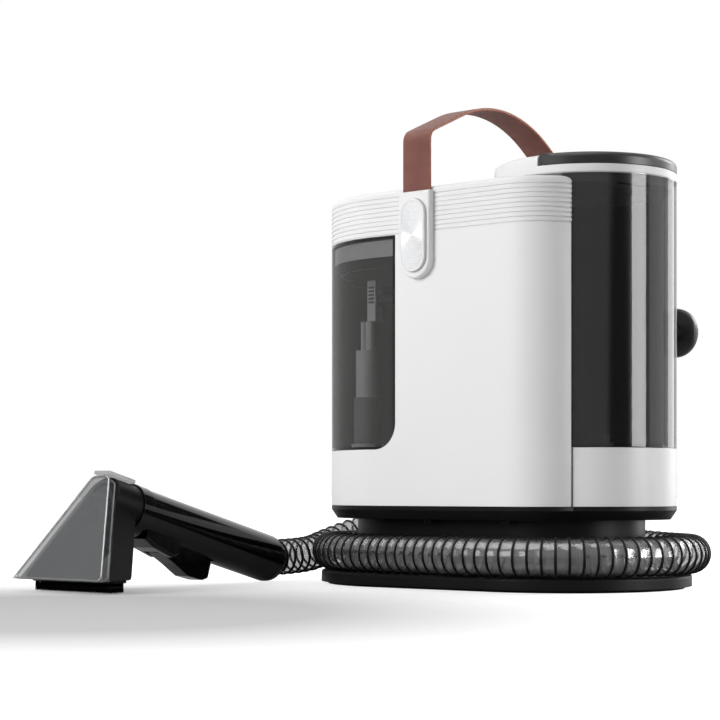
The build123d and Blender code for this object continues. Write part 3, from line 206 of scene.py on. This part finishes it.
def mark_edges_and_painted_light(material, edges, colour, alpha):
    """Gives a see-through plastic solid tinted bands, each an axis, where it starts and where it is full:
    dark edges, and bands of painted highlight and painted shade.
    """
    tree = material.node_tree
    shader = tree.nodes["Principled BSDF"]
    place = tree.nodes.new("ShaderNodeTexCoord")
    axes = tree.nodes.new("ShaderNodeSeparateXYZ")
    link(tree, place, "Object", axes, "Vector")
    mask = None
    for axis, start, full in edges:
        band = map_range(tree, axes.outputs[axis], start, full, 0.0, 1.0)
        mask = band if mask is None else math_node(tree, "MAXIMUM", mask, band)
    plain = shader.inputs["Alpha"].links[0].from_socket
    solid = math_node(tree, "MULTIPLY", mask, alpha)
    tree.links.new(math_node(tree, "MAXIMUM", plain, solid), shader.inputs["Alpha"])
    tint = tree.nodes.new("ShaderNodeValToRGB")
    tint.color_ramp.elements[0].color = shader.inputs["Base Color"].default_value
    tint.color_ramp.elements[1].color = colour
    tree.links.new(mask, tint.inputs["Fac"])
    link(tree, tint, "Color", shader, "Base Color")


def darken(material, plain_share):
    """Paints shade: mixes a plastic's colour with near black, the share being that of the plain colour."""
    tree = material.node_tree
    shader = tree.nodes["Principled BSDF"]
    mix = tree.nodes.new("ShaderNodeMix")
    mix.data_type = "RGBA"
    mix.inputs[MIX_FIRST].default_value = grey(0.01)
    plain = shader.inputs["Base Color"].links[0].from_socket
    tree.links.new(plain, mix.inputs[MIX_SECOND])
    tree.links.new(plain_share, mix.inputs["Factor"])
    tree.links.new(mix.outputs[MIX_RESULT], shader.inputs["Base Color"])


def paint_arm_shade(material):
    """Painted shade: the air tower turns near black from where its arm leaves it."""
    tree = material.node_tree
    place = tree.nodes.new("ShaderNodeTexCoord")
    axes = tree.nodes.new("ShaderNodeSeparateXYZ")
    link(tree, place, "Object", axes, "Vector")
    darken(material, map_range(tree, axes.outputs["X"], ARM_X - ARM_BLUR, ARM_X + ARM_BLUR, 1.0, 0.0))


def paint_bay_shade(material):
    """Painted shade: the covers turn near black where they face the clean-water tank."""
    tree = material.node_tree
    place = tree.nodes.new("ShaderNodeTexCoord")
    across = tree.nodes.new("ShaderNodeVectorMath")
    across.operation = "MULTIPLY_ADD"
    across.inputs[1].default_value = (1.0, 1.0, 0.0)
    across.inputs[2].default_value = (-TANK_X, 0.0, 0.0)
    link(tree, place, "Object", across, 0)
    away = tree.nodes.new("ShaderNodeVectorMath")
    away.operation = "LENGTH"
    link(tree, across, "Vector", away, 0)
    darken(material, map_range(tree, away.outputs["Value"], BAY_R + BAY_SHADE_FULL, BAY_R + BAY_SHADE_END, 0.0, 1.0))


def leather(name, low, high, rough):
    """Grained leather: small cells in its surface and a broad mottle in its colour."""
    material, tree, shader = new_material(name)
    place = tree.nodes.new("ShaderNodeTexCoord")
    cells = tree.nodes.new("ShaderNodeTexVoronoi")
    cells.inputs["Scale"].default_value = HIDE_SCALE
    link(tree, place, "Object", cells, "Vector")
    broad = noise(tree, 60.0, 4.0)
    link(tree, ramp(tree, broad, "Fac", low, high), "Color", shader, "Base Color")
    worn = ramp(tree, cells, "Distance", grey(rough), grey(rough + 0.15), 0.1, 0.7)
    link(tree, worn, "Color", shader, "Roughness")
    bump(tree, cells, "Distance", shader, HIDE_STRENGTH, HIDE_DEPTH)
    shader.inputs["Specular IOR Level"].default_value = 0.25
    shader.inputs["Sheen Weight"].default_value = 0.05
    return material


def spun_metal(name):
    """Silver inlay with a spun grain round its middle."""
    material, tree, shader = new_material(name)
    shader.inputs["Metallic"].default_value = 1.0
    shader.inputs["Base Color"].default_value = (0.84, 0.845, 0.855, 1.0)
    shader.inputs["Anisotropic"].default_value = 0.85
    shader.inputs["Anisotropic Rotation"].default_value = 0.25
    low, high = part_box("button_inlay")
    place = tree.nodes.new("ShaderNodeTexCoord")
    shift = tree.nodes.new("ShaderNodeVectorMath")
    shift.operation = "SUBTRACT"
    shift.inputs[1].default_value = (low + high) / 2
    link(tree, place, "Object", shift, 0)
    cross = tree.nodes.new("ShaderNodeVectorMath")
    cross.operation = "CROSS_PRODUCT"
    cross.inputs[1].default_value = (0.0, 1.0, 0.0)
    link(tree, shift, "Vector", cross, 0)
    unit = tree.nodes.new("ShaderNodeVectorMath")
    unit.operation = "NORMALIZE"
    link(tree, cross, "Vector", unit, 0)
    link(tree, unit, "Vector", shader, "Tangent")
    length = tree.nodes.new("ShaderNodeVectorMath")
    length.operation = "LENGTH"
    link(tree, shift, "Vector", length, 0)
    rings = tree.nodes.new("ShaderNodeTexNoise")
    rings.noise_dimensions = "1D"
    rings.inputs["Scale"].default_value = SPUN_SCALE
    link(tree, length, "Value", rings, "W")
    link(tree, ramp(tree, rings, "Fac", grey(0.22), grey(0.34)), "Color", shader, "Roughness")
    bump(tree, rings, "Fac", shader, SPUN_STRENGTH, SPUN_DEPTH)
    return material


def brushed_steel(name, value):
    """Plain steel with fine scratches."""
    material, tree, shader = new_material(name)
    shader.inputs["Metallic"].default_value = 1.0
    scratches = noise(tree, SCRATCH_SCALE, 3.0)
    link(tree, ramp(tree, scratches, "Fac", grey(value * 0.85), grey(value)), "Color", shader, "Base Color")
    link(tree, ramp(tree, scratches, "Fac", grey(0.25), grey(0.4)), "Color", shader, "Roughness")
    return material


WHITE = plastic("white_shell", grey(0.80), grey(0.82), 0.36, 0.44, specular=0.2)
# The covers' white, which gets painted shade where they face the tank's bay
COVER = plastic("white_cover_bay_shade", grey(0.80), grey(0.82), 0.36, 0.44, specular=0.2)
BLACK = plastic("black_base", grey(0.004), grey(0.006), 0.34, 0.44, specular=0.10)
GLOSS = plastic("gloss_black", grey(0.003), grey(0.004), 0.10, 0.16, 500.0, 0.02, coat=0.55, specular=0.10)
LID = plastic("black_lid", (0.012, 0.012, 0.013, 1), (0.016, 0.016, 0.017, 1), 0.30, 0.38, specular=0.25)
RUBBER = plastic("rubber", grey(0.005), grey(0.008), 0.65, 0.8, 700.0, 0.2, specular=0.15)
GREY = plastic("grey_plastic", (0.20, 0.20, 0.205, 1), (0.24, 0.24, 0.245, 1), 0.38, 0.5)
PALE = plastic("pale_plastic", (0.72, 0.72, 0.73, 1), (0.78, 0.78, 0.79, 1), 0.38, 0.5)
# Pale plastic for the tower, which gets painted shade on its arm
TOWER = plastic("pale_tower_arm_shade", (0.72, 0.72, 0.73, 1), (0.78, 0.78, 0.79, 1), 0.38, 0.5)
MOTOR = plastic("motor_can", (0.04, 0.04, 0.045, 1), (0.06, 0.06, 0.065, 1), 0.35, 0.5)
# The tanks' smoked plastic, which gets a painted highlight on the clean tank's rim
SMOKED_RIM_HIGHLIGHT = see_through("smoked_clear", (0.018, 0.018, 0.019, 1), 0.60, 0.64, 0.03, 0.05, 0.42)
# The tub's smoked plastic, which gets dark edges and painted shade behind its front
WINDOW = see_through("smoked_window_painted_shade", (0.080, 0.079, 0.076, 1), 0.36, 0.40, 0.04, 0.07, 0.22)
CLEAR = see_through("clear_cover", (0.10, 0.105, 0.11, 1), 0.48, 0.54, 0.03, 0.06, 0.9)
LATCH = see_through("clear_latch", (0.06, 0.062, 0.064, 1), 0.44, 0.50, 0.03, 0.06, 0.9, ior=1.8)
RIM = see_through("clear_rim", (0.06, 0.062, 0.064, 1), 0.50, 0.56, 0.03, 0.06, 1.0, ior=2.2)
FILM = see_through("hose_film", (0.10, 0.10, 0.102, 1), 0.28, 0.34, 0.18, 0.24, 1.0, ior=1.9)
STEEL = brushed_steel("steel", 0.6)
INLAY = spun_metal("spun_inlay")
STRAP_FACE = leather("strap_leather", (0.150, 0.055, 0.043, 1), (0.190, 0.073, 0.056, 1), 0.5)
STRAP_EDGE = leather("strap_edge", (0.27, 0.075, 0.040, 1), (0.33, 0.10, 0.055, 1), 0.4)

# The clean-water tank gets a painted highlight along its top rim, and the tub has dark edges and painted
# shade behind its front
TANK_RIM_HIGHLIGHT_START = 0.0012
TANK_RIM_HIGHLIGHT_FULL = 0.0008
TUB_EDGE_START = 0.0024
TUB_EDGE_FULL = 0.0018
TUB_SHADE_START_Y = -0.080
TUB_SHADE_FULL_Y = -0.055
tank_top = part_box("clean_tank")[1].z
tub_low, tub_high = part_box("dirty_tank")
TUB_EDGES_AND_SHADE = [
    ("X", tub_high.x - TUB_EDGE_START, tub_high.x - TUB_EDGE_FULL),
    ("Z", tub_low.z + TUB_EDGE_START, tub_low.z + TUB_EDGE_FULL),
    ("Z", tub_high.z - TUB_EDGE_START, tub_high.z - TUB_EDGE_FULL),
    # Painted shade: the tub turns dark and solid behind its front
    ("Y", TUB_SHADE_START_Y, TUB_SHADE_FULL_Y),
]
# Painted shade on the covers where they face the clean-water tank
paint_bay_shade(COVER)
# Painted shade on the air tower's arm
paint_arm_shade(TOWER)
# Painted highlight: the clean tank's top rim is paler and more solid
mark_edges_and_painted_light(SMOKED_RIM_HIGHLIGHT, [("Z", tank_top - TANK_RIM_HIGHLIGHT_START, tank_top - TANK_RIM_HIGHLIGHT_FULL)], grey(0.55), 0.9)
# Dark edges on the tub, and painted shade behind its front
mark_edges_and_painted_light(WINDOW, TUB_EDGES_AND_SHADE, grey(0.003), 0.95)

BY_SLOT = {
    "white_shell": WHITE,
    "black_base": BLACK,
    "rubber": RUBBER,
    "steel": STEEL,
    "motor_can": MOTOR,
    "smoked_clear": SMOKED_RIM_HIGHLIGHT,
    "black_lid": LID,
    "leather": STRAP_FACE,
    "silver": INLAY,
    "grey_plastic": GREY,
    "clear_hose": FILM,
    "gloss_black": GLOSS,
    "clear_cover": CLEAR,
    "bristle": BLACK,
}

BY_NODE = {
    "front_cover": COVER,
    "rear_cover": COVER,
    "dirty_tank": WINDOW,
    "dirty_lid": PALE,
    "tank_columns": TOWER,
    "cord_hook": LID,
    "cover_latch": LATCH,
    "spray_tip": BLACK,
    "casing_screws": BLACK,
    "nozzle_body": BLACK,
}


def dress_nodes():
    """Gives each CAD node its own finish, or that of its slot."""
    for part in frame["record"]["subparts"]:
        data = nodes[part["node"]].data
        data.materials.clear()
        data.materials.append(BY_NODE.get(part["node"], BY_SLOT[part["material_slot"]]))


def new_piece(name, bm, materials, body, replaced):
    """A smooth piece of the scene that rides on a body and may stand for a CAD node."""
    mesh = bpy.data.meshes.new(name)
    bm.to_mesh(mesh)
    bm.free()
    for material in materials:
        mesh.materials.append(material)
    piece = bpy.data.objects.new(name, mesh)
    scene.collection.objects.link(piece)
    for face in mesh.polygons:
        face.use_smooth = True
    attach(piece, body)
    if replaced:
        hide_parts(replaced)
    return piece


# Hose

HOSE_R = 0.0162
HOSE_SIDES = 40
FILM_VALLEY = 0.0014
FILM_CREST = 0.0009
FILM_T = 0.0012
RIB_PITCH = 0.010
RIB_STEPS = 8
RIB_SHARPNESS = 1.6
RING_HALF = 0.0011
RING_SIDES = 8

# Its route: a turn has its first angle, the angle between its points and their number
HOSE_Z = 0.0285
HOSE_START_X = -0.036
HOSE_START_Y = 0.093
HOSE_LEAD_X = -0.094
WIND_CENTRE_X = 0.060
WIND_LEFT_R = 0.101
WIND_LEFT_TURN = (135, 30, 5)
WIND_RIGHT_R = 0.1085
WIND_RIGHT_TURN = (-67.5, 27, 6)
FRONT_RUN = [(-0.038, -0.106, HOSE_Z), (0.012, -0.109, HOSE_Z), (0.060, -0.111, HOSE_Z)]
REAR_RUN = [(0.058, 0.114, 0.031), (0.012, 0.121, 0.044), (-0.034, 0.125, 0.056), (-0.080, 0.125, 0.060)]
LEFT_RUN = [(-0.125, 0.107, 0.0585), (-0.165, 0.0775, 0.052), (-0.190, 0.039, 0.041), (-0.1995, 0.0, 0.029)]
LAST_BEND_Y = -0.037
TAIL_Y = -0.088525
TAIL_Z = 0.021320


def turn_points(centre_x, radius, first, step, count):
    """Control points round a turn, outside it by what keeps the smooth line on its radius."""
    reach = radius / math.cos(math.radians(step / 2))
    angles = [math.radians(first + index * step) for index in range(count)]
    return [(centre_x + reach * math.cos(angle), reach * math.sin(angle), HOSE_Z) for angle in angles]


def hose_points():
    points = [(HOSE_START_X, HOSE_START_Y, HOSE_Z), (HOSE_LEAD_X, HOSE_START_Y, HOSE_Z)]
    points += turn_points(-WIND_CENTRE_X, WIND_LEFT_R, *WIND_LEFT_TURN)
    points += FRONT_RUN
    points += turn_points(WIND_CENTRE_X, WIND_RIGHT_R, *WIND_RIGHT_TURN)
    points += REAR_RUN + LEFT_RUN
    return points + [(TOOL_X, LAST_BEND_Y, TAIL_Z), (TOOL_X, TAIL_Y, TAIL_Z)]


def hose_line():
    """Points along the hose's smooth middle line."""
    data = bpy.data.curves.new("hose_route", "CURVE")
    data.dimensions = "3D"
    spline = data.splines.new("NURBS")
    points = hose_points()
    spline.points.add(len(points) - 1)
    for point, place in zip(spline.points, points):
        point.co = (*place, 1.0)
    spline.order_u = 3
    spline.use_endpoint_u = True
    spline.resolution_u = 40
    route = bpy.data.objects.new("hose_route", data)
    scene.collection.objects.link(route)
    bpy.context.view_layer.update()
    mesh = bpy.data.meshes.new_from_object(route)
    line = [vertex.co.copy() for vertex in mesh.vertices]
    bpy.data.objects.remove(route)
    bpy.data.meshes.remove(mesh)
    return line


class Line:
    """A polyline that gives its place and direction at a distance along it."""

    def __init__(self, points):
        self.points = points
        self.starts = [0.0]
        for a, b in zip(points, points[1:]):
            self.starts.append(self.starts[-1] + (b - a).length)
        self.length = self.starts[-1]
        self.at = 0

    def place(self, distance):
        while self.at > 0 and self.starts[self.at] > distance:
            self.at -= 1
        while self.at < len(self.points) - 2 and self.starts[self.at + 1] < distance:
            self.at += 1
        share = (distance - self.starts[self.at]) / (self.starts[self.at + 1] - self.starts[self.at])
        return self.points[self.at].lerp(self.points[self.at + 1], share)

    def along(self, distance, reach):
        back = self.place(max(0.0, distance - reach))
        ahead = self.place(min(self.length, distance + reach))
        return (ahead - back).normalized()

    def frame(self, distance):
        """The place at a distance, with the level and the upward direction across the line."""
        along = self.along(distance, TUBE_REACH)
        across = Vector((0, 0, 1)).cross(along).normalized()
        return self.place(distance), across, along.cross(across)


# A line's direction is taken over this much of it on either side
TUBE_REACH = 0.002
STRAP_REACH = 0.001


def ring_tube(bm, line, rings, sides):
    """A closed tube through rings of a given radius, each at a distance along the line."""
    loops = []
    for distance, radius in rings:
        middle, across, up = line.frame(distance)
        loop = []
        for index in range(sides):
            angle = 2 * math.pi * index / sides
            loop.append(bm.verts.new(middle + radius * (math.cos(angle) * across + math.sin(angle) * up)))
        loops.append(loop)
    for a, b in zip(loops, loops[1:] + loops[:1]):
        for index in range(sides):
            after = (index + 1) % sides
            bm.faces.new((a[index], a[after], b[after], b[index]))


def make_hose():
    """A clear film with shallow ribs, and a dark ring round each rib."""
    line = Line(hose_line())
    count = int((line.length - RIB_PITCH) / RIB_PITCH)
    margin = (line.length - count * RIB_PITCH) / 2
    valley = HOSE_R - FILM_VALLEY
    crest = HOSE_R - FILM_CREST
    film = bmesh.new()
    rings = [(0.0, valley)]
    middles = []
    for index in range(count):
        start = margin + index * RIB_PITCH
        middles.append(start + RIB_PITCH / 2)
        for step in range(RIB_STEPS):
            share = step / RIB_STEPS
            lift = 0.5 - 0.5 * math.cos(2 * math.pi * share)
            rings.append((start + share * RIB_PITCH, valley + (crest - valley) * lift**RIB_SHARPNESS))
    rings.append((line.length, valley))
    inner = [(distance, radius - FILM_T) for distance, radius in reversed(rings)]
    ring_tube(film, line, rings + inner, HOSE_SIDES)
    tube = new_piece("hose_film", film, [FILM], "machine", "suction_hose")
    wires = bmesh.new()
    for middle in middles:
        section = []
        for index in range(RING_SIDES):
            angle = 2 * math.pi * index / RING_SIDES
            radius = HOSE_R - RING_HALF + RING_HALF * math.sin(angle)
            section.append((middle + RING_HALF * math.cos(angle), radius))
        ring_tube(wires, line, section, HOSE_SIDES)
    rings_piece = new_piece("hose_rings", wires, [BLACK], "machine", None)


# Strap

STRAP_X = -0.0127
STRAP_HALF_W = 0.0142
STRAP_HALF_T = 0.0012
STRAP_ROUND = 0.0009
STRAP_LEG = 0.1015
STRAP_FOOT = 0.2924
STRAP_SHOULDER_R = 0.010
STRAP_FRONT_SHOULDER = 0.3745
STRAP_REAR_SHOULDER = 0.3635
STRAP_PEAK_Y = 0.0086
STRAP_PEAK_Z = 0.4230
STRAP_PEAK_R = 0.134
STRAP_STEPS = 260
STRAP_CORNER_STEPS = 3
STRAP_EDGE_BAND = 0.0002
ARC_STEPS = 24


def strap_line():
    """The strap's middle line."""
    corners = [
        (Vector((0, -STRAP_LEG, STRAP_FOOT)), 0),
        (Vector((0, -STRAP_LEG, STRAP_FRONT_SHOULDER)), STRAP_SHOULDER_R),
        (Vector((0, STRAP_PEAK_Y, STRAP_PEAK_Z)), STRAP_PEAK_R),
        (Vector((0, STRAP_LEG, STRAP_REAR_SHOULDER)), STRAP_SHOULDER_R),
        (Vector((0, STRAP_LEG, STRAP_FOOT)), 0),
    ]
    return rounded_line(corners)


def rounded_line(corners):
    """A line through corners, each with the radius that rounds it."""
    points = [corners[0][0]]
    for (before, _), (corner, radius), (after, _) in zip(corners, corners[1:], corners[2:]):
        back = (before - corner).normalized()
        ahead = (after - corner).normalized()
        turn = math.pi - back.angle(ahead)
        reach = radius * math.tan(turn / 2)
        bisector = (back + ahead).normalized()
        centre = corner + bisector * (radius / math.cos(turn / 2))
        first = corner + back * reach - centre
        axis = first.cross(corner + ahead * reach - centre).normalized()
        for step in range(ARC_STEPS + 1):
            points.append(centre + Matrix.Rotation(turn * step / ARC_STEPS, 3, axis) @ first)
    points.append(corners[-1][0])
    return Line(points)


def strap_section():
    """The strap's rounded section, as places across it and out of it."""
    flat_w = STRAP_HALF_W - STRAP_ROUND
    flat_t = STRAP_HALF_T - STRAP_ROUND
    section = []
    for corner, (side, face) in enumerate(((1, -1), (1, 1), (-1, 1), (-1, -1))):
        for step in range(STRAP_CORNER_STEPS + 1):
            angle = math.radians(90 * (corner - 1 + step / STRAP_CORNER_STEPS))
            across = side * flat_w + STRAP_ROUND * math.cos(angle)
            section.append((across, face * flat_t + STRAP_ROUND * math.sin(angle)))
    return section


def make_strap():
    """The leather strap, with its cut edges in a finish of their own."""
    line = strap_line()
    section = strap_section()
    edge_from = STRAP_HALF_W - STRAP_ROUND - STRAP_EDGE_BAND
    bm = bmesh.new()
    loops = []
    for index in range(STRAP_STEPS + 1):
        distance = line.length * index / STRAP_STEPS
        out = Vector((1, 0, 0)).cross(line.along(distance, STRAP_REACH))
        middle = line.place(distance) + Vector((STRAP_X, 0, 0))
        loops.append([bm.verts.new(middle + Vector((x, 0, 0)) + out * y) for x, y in section])
    for a, b in zip(loops, loops[1:]):
        for index in range(len(section)):
            after = (index + 1) % len(section)
            face = bm.faces.new((a[index], a[after], b[after], b[index]))
            x = (section[index][0] + section[after][0]) / 2
            face.material_index = 1 if abs(x) > edge_from else 0
    bm.faces.new(loops[0])
    bm.faces.new(list(reversed(loops[-1])))
    bmesh.ops.recalc_face_normals(bm, faces=bm.faces)
    new_piece("strap", bm, [STRAP_FACE, STRAP_EDGE], "machine", "carry_strap")


# Bristles

BRUSH_BACK = 0.002
TUFT_COLUMNS = 17
TUFT_ROWS = 3
TUFT_STRANDS = 36
TUFT_R = 0.0018
TUFT_SPLAY = 1.1
COLUMN_TWIST = 0.7
ROW_TWIST = 1.3
GOLDEN_ANGLE = 2.39996
STRAND_SIDES = 3
STRAND_ROOT_R = 0.00022
STRAND_TIP_R = 0.00014
STRAND_TIP_Z = 0.0004
STRAND_TIP_STEP = 0.0003
STRAND_LENGTHS = 3


def add_strand(bm, root, tip):
    ends = []
    for place, radius in ((root, STRAND_ROOT_R), (tip, STRAND_TIP_R)):
        end = []
        for index in range(STRAND_SIDES):
            turn = 2 * math.pi * index / STRAND_SIDES
            end.append(bm.verts.new(place + Vector((radius * math.cos(turn), radius * math.sin(turn), 0))))
        ends.append(end)
    for index in range(STRAND_SIDES):
        after = (index + 1) % STRAND_SIDES
        bm.faces.new((ends[0][index], ends[0][after], ends[1][after], ends[1][index]))
    bm.faces.new(ends[1])
    bm.faces.new(list(reversed(ends[0])))


def add_tuft(bm, middle, twist):
    """Strands spread evenly round the middle of a tuft at its root, and splayed a little at their tips."""
    for strand in range(TUFT_STRANDS):
        angle = GOLDEN_ANGLE * strand + twist
        spread = TUFT_R * math.sqrt((strand + 0.5) / TUFT_STRANDS)
        out = Vector((spread * math.cos(angle), spread * math.sin(angle), 0))
        tip = middle + TUFT_SPLAY * out
        tip.z = STRAND_TIP_Z + STRAND_TIP_STEP * (strand % STRAND_LENGTHS)
        add_strand(bm, middle + out, tip)


def make_bristles():
    """A thin back with rows of tufts under it."""
    low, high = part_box("brush_strip")
    bm = bmesh.new()
    middle = (low + high) / 2
    middle.z = high.z - BRUSH_BACK / 2
    bmesh.ops.create_cube(bm, size=1.0)
    bmesh.ops.scale(bm, vec=(high.x - low.x, high.y - low.y, BRUSH_BACK), verts=bm.verts)
    bmesh.ops.translate(bm, vec=middle, verts=bm.verts)
    step_x = (high.x - low.x) / TUFT_COLUMNS
    step_y = (high.y - low.y) / TUFT_ROWS
    for column in range(TUFT_COLUMNS):
        for row in range(TUFT_ROWS):
            x = low.x + (column + 0.5) * step_x
            y = low.y + (row + 0.5) * step_y
            twist = column * COLUMN_TWIST + row * ROW_TWIST
            add_tuft(bm, Vector((x, y, high.z - BRUSH_BACK)), twist)
    bmesh.ops.recalc_face_normals(bm, faces=bm.faces)
    new_piece("bristles", bm, [BLACK], "nozzle_head", "brush_strip")


# Nozzle cover's rims

MOUTH = Vector((TOOL_X, -0.335, 0.011))
HEAD_SLOPE = math.radians(59.6)
HEAD_UP = Vector((0, math.cos(HEAD_SLOPE), math.sin(HEAD_SLOPE)))
HEAD_OUT = Vector((0, -math.sin(HEAD_SLOPE), math.cos(HEAD_SLOPE)))
HEAD_LENGTH = 0.095
HEAD_MOUTH_HALF = 0.052
HEAD_APEX_HALF = 0.010
HEAD_APEX_R = 0.008
HEAD_BOTTOM = 0.010
COVER_T = 0.009
RIM_R = 0.0010
RIM_CORNER_R = 0.003
RIM_SIDES = 12
RIM_STEP = 0.0015


def cover_rim(bm, depth):
    """A bead round the cover's outline, that far behind its front face."""
    taper = (HEAD_MOUTH_HALF - HEAD_APEX_HALF) / HEAD_LENGTH
    inset = RIM_R * math.hypot(1.0, taper)
    low = (HEAD_BOTTOM - MOUTH.z + depth * HEAD_OUT.z) / HEAD_UP.z + RIM_R
    high = HEAD_LENGTH - RIM_R
    low_half = HEAD_MOUTH_HALF - taper * low - inset
    high_half = HEAD_MOUTH_HALF - taper * high - inset
    corners = []
    for across, up, radius in (
        (0.0, low, 0.0),
        (-low_half, low, RIM_CORNER_R),
        (-high_half, high, HEAD_APEX_R - RIM_R),
        (high_half, high, HEAD_APEX_R - RIM_R),
        (low_half, low, RIM_CORNER_R),
        (0.0, low, 0.0),
    ):
        corners.append((MOUTH + Vector((across, 0, 0)) + up * HEAD_UP - depth * HEAD_OUT, radius))
    line = rounded_line(corners)
    count = int(line.length / RIM_STEP)
    ring_tube(bm, line, [(line.length * index / count, RIM_R) for index in range(count)], RIM_SIDES)


def make_cover_rims():
    """A bead at the cover's front and one at its seam with the body."""
    bm = bmesh.new()
    cover_rim(bm, RIM_R / 2)
    cover_rim(bm, COVER_T - RIM_R)
    new_piece("cover_rims", bm, [RIM], "nozzle_head", None)


# Stage

CLIP_START = 0.05
CLIP_END = 50


def make_camera():
    data = bpy.data.cameras.new("photo_camera")
    data.sensor_width = SENSOR_MM
    data.lens = FOCAL_PIXELS * SENSOR_MM / FRAME_PIXELS
    data.shift_y = CAMERA_SHIFT_Y
    data.clip_start = CLIP_START
    data.clip_end = CLIP_END
    camera = bpy.data.objects.new("photo_camera", data)
    camera.location = CAMERA_PLACE
    camera.rotation_euler = (math.pi / 2, 0, CAMERA_AZIMUTH)
    scene.collection.objects.link(camera)
    scene.camera = camera


def seen_directly(tree):
    rays = tree.nodes.new("ShaderNodeLightPath")
    return math_node(tree, "MAXIMUM", rays.outputs["Is Camera Ray"], rays.outputs["Is Transmission Ray"])


FLOOR_HALF = 12
FLOOR_DROP = 0.0002
FLOOR_DIFFUSE = 0.60
FLOOR_GLOW = 0.05
# Painted shadow: the floor's glow stays at FLOOR_GLOW within FLOOR_NEAR of this place and is full beyond
# FLOOR_FAR
PAINTED_SHADOW_PLACE = (-0.02, -0.49, 0.0)
FLOOR_NEAR = 0.18
FLOOR_FAR = 0.52


def make_floor():
    """A pale floor with a painted shadow before the nozzle: its glow is dimmed round the shadow's place,
    where the real shadows also show, and rises to plain white away from it.
    """
    bm = bmesh.new()
    bmesh.ops.create_grid(bm, x_segments=1, y_segments=1, size=FLOOR_HALF)
    mesh = bpy.data.meshes.new("floor")
    bm.to_mesh(mesh)
    bm.free()
    floor = bpy.data.objects.new("floor", mesh)
    floor.location = (0, 0, -FLOOR_DROP)
    scene.collection.objects.link(floor)
    material = bpy.data.materials.new("pale_floor")
    material.use_nodes = True
    tree = material.node_tree
    tree.nodes.clear()
    output = tree.nodes.new("ShaderNodeOutputMaterial")
    add = tree.nodes.new("ShaderNodeAddShader")
    diffuse = tree.nodes.new("ShaderNodeBsdfDiffuse")
    diffuse.inputs["Color"].default_value = grey(FLOOR_DIFFUSE)
    glow = tree.nodes.new("ShaderNodeEmission")
    place = tree.nodes.new("ShaderNodeTexCoord")
    away = tree.nodes.new("ShaderNodeVectorMath")
    away.operation = "DISTANCE"
    away.inputs[1].default_value = PAINTED_SHADOW_PLACE
    link(tree, place, "Object", away, 0)
    painted_shadow_glow = map_range(tree, away.outputs["Value"], FLOOR_NEAR, FLOOR_FAR, FLOOR_GLOW, 1.0)
    tree.links.new(math_node(tree, "MULTIPLY", seen_directly(tree), painted_shadow_glow), glow.inputs["Strength"])
    link(tree, diffuse, 0, add, 0)
    link(tree, glow, 0, add, 1)
    link(tree, add, 0, output, "Surface")
    mesh.materials.append(material)


AMBIENT = 0.36
FLAG_DIRECTION = (0.970, -0.242, 0.0)
FLAG_EDGE = 0.955
FLAG_INSIDE = 0.985
FLAG_LEVEL = 0.03


def make_world():
    """White where it is seen, dimmer as fill light, with a dark flag at the right for the tank to reflect."""
    world = bpy.data.worlds.new("studio")
    scene.world = world
    world.use_nodes = True
    tree = world.node_tree
    back = tree.nodes["Background"]
    back.inputs["Color"].default_value = (1, 1, 1, 1)
    place = tree.nodes.new("ShaderNodeTexCoord")
    dot = tree.nodes.new("ShaderNodeVectorMath")
    dot.operation = "DOT_PRODUCT"
    dot.inputs[1].default_value = FLAG_DIRECTION
    link(tree, place, "Generated", dot, 0)
    rays = tree.nodes.new("ShaderNodeLightPath")
    open_sky = map_range(tree, dot.outputs["Value"], FLAG_EDGE, FLAG_INSIDE, 1.0, FLAG_LEVEL)
    glossy = map_range(tree, rays.outputs["Is Glossy Ray"], 0.0, 1.0, AMBIENT, 1.0)
    fill = math_node(tree, "MULTIPLY", glossy, open_sky)
    level = math_node(tree, "MAXIMUM", fill, seen_directly(tree))
    tree.links.new(level, back.inputs["Strength"])


BODY_MIDDLE = (0.0, 0.0, 0.18)
TANK_MIDDLE = (TANK_X, 0.0, 0.22)

# Each lamp's place, aim, width, height and watts, and whether it lights surfaces and shows in reflections
LAMPS = {
    "key": ((-0.80, -1.87, 0.75), BODY_MIDDLE, 1.0, 1.0, 29.0, True, False),
    "inlay_reflection": ((-0.25, -2.0, 0.75), BODY_MIDDLE, 1.0, 1.0, 12.0, False, True),
    "top": ((0.2, 0.3, 1.6), (0.0, 0.0, 0.2), 1.2, 1.2, 3.0, True, True),
    "back": ((0.65, 1.72, 1.2), (0.0, 0.0, 0.1), 0.9, 0.9, 14.0, True, True),
    "right_fill": ((0.83, 0.75, 0.35), TANK_MIDDLE, 0.4, 1.0, 6.0, True, False),
    "strip_reflection": ((1.06, 0.195, 0.30), TANK_MIDDLE, 0.36, 1.0, 17.0, False, True),
    "side_reflection": ((0.84, 0.64, 0.30), TANK_MIDDLE, 0.45, 1.0, 1.8, False, True),
    "rim_reflection": ((0.31, 0.934, 0.30), TANK_MIDDLE, 0.36, 1.0, 4.6, False, True),
    "hose_reflection": ((-0.45, -0.5, 1.4), (-0.45, -0.1, 0.05), 2.2, 1.2, 26.0, False, True),
}


def make_lights():
    for name, (place, aim, width, height, power, lights, reflects) in LAMPS.items():
        data = bpy.data.lights.new(name, "AREA")
        data.shape = "RECTANGLE"
        data.size = width
        data.size_y = height
        data.energy = power
        lamp = bpy.data.objects.new(name, data)
        lamp.location = place
        lamp.rotation_euler = (Vector(aim) - Vector(place)).to_track_quat("-Z", "Y").to_euler()
        lamp.visible_camera = False
        lamp.visible_diffuse = lights
        lamp.visible_glossy = reflects
        scene.collection.objects.link(lamp)


dress_nodes()
make_hose()
make_strap()
make_bristles()
make_cover_rims()
make_camera()
make_floor()
make_world()
make_lights()
scene.view_settings.view_transform = "Standard"
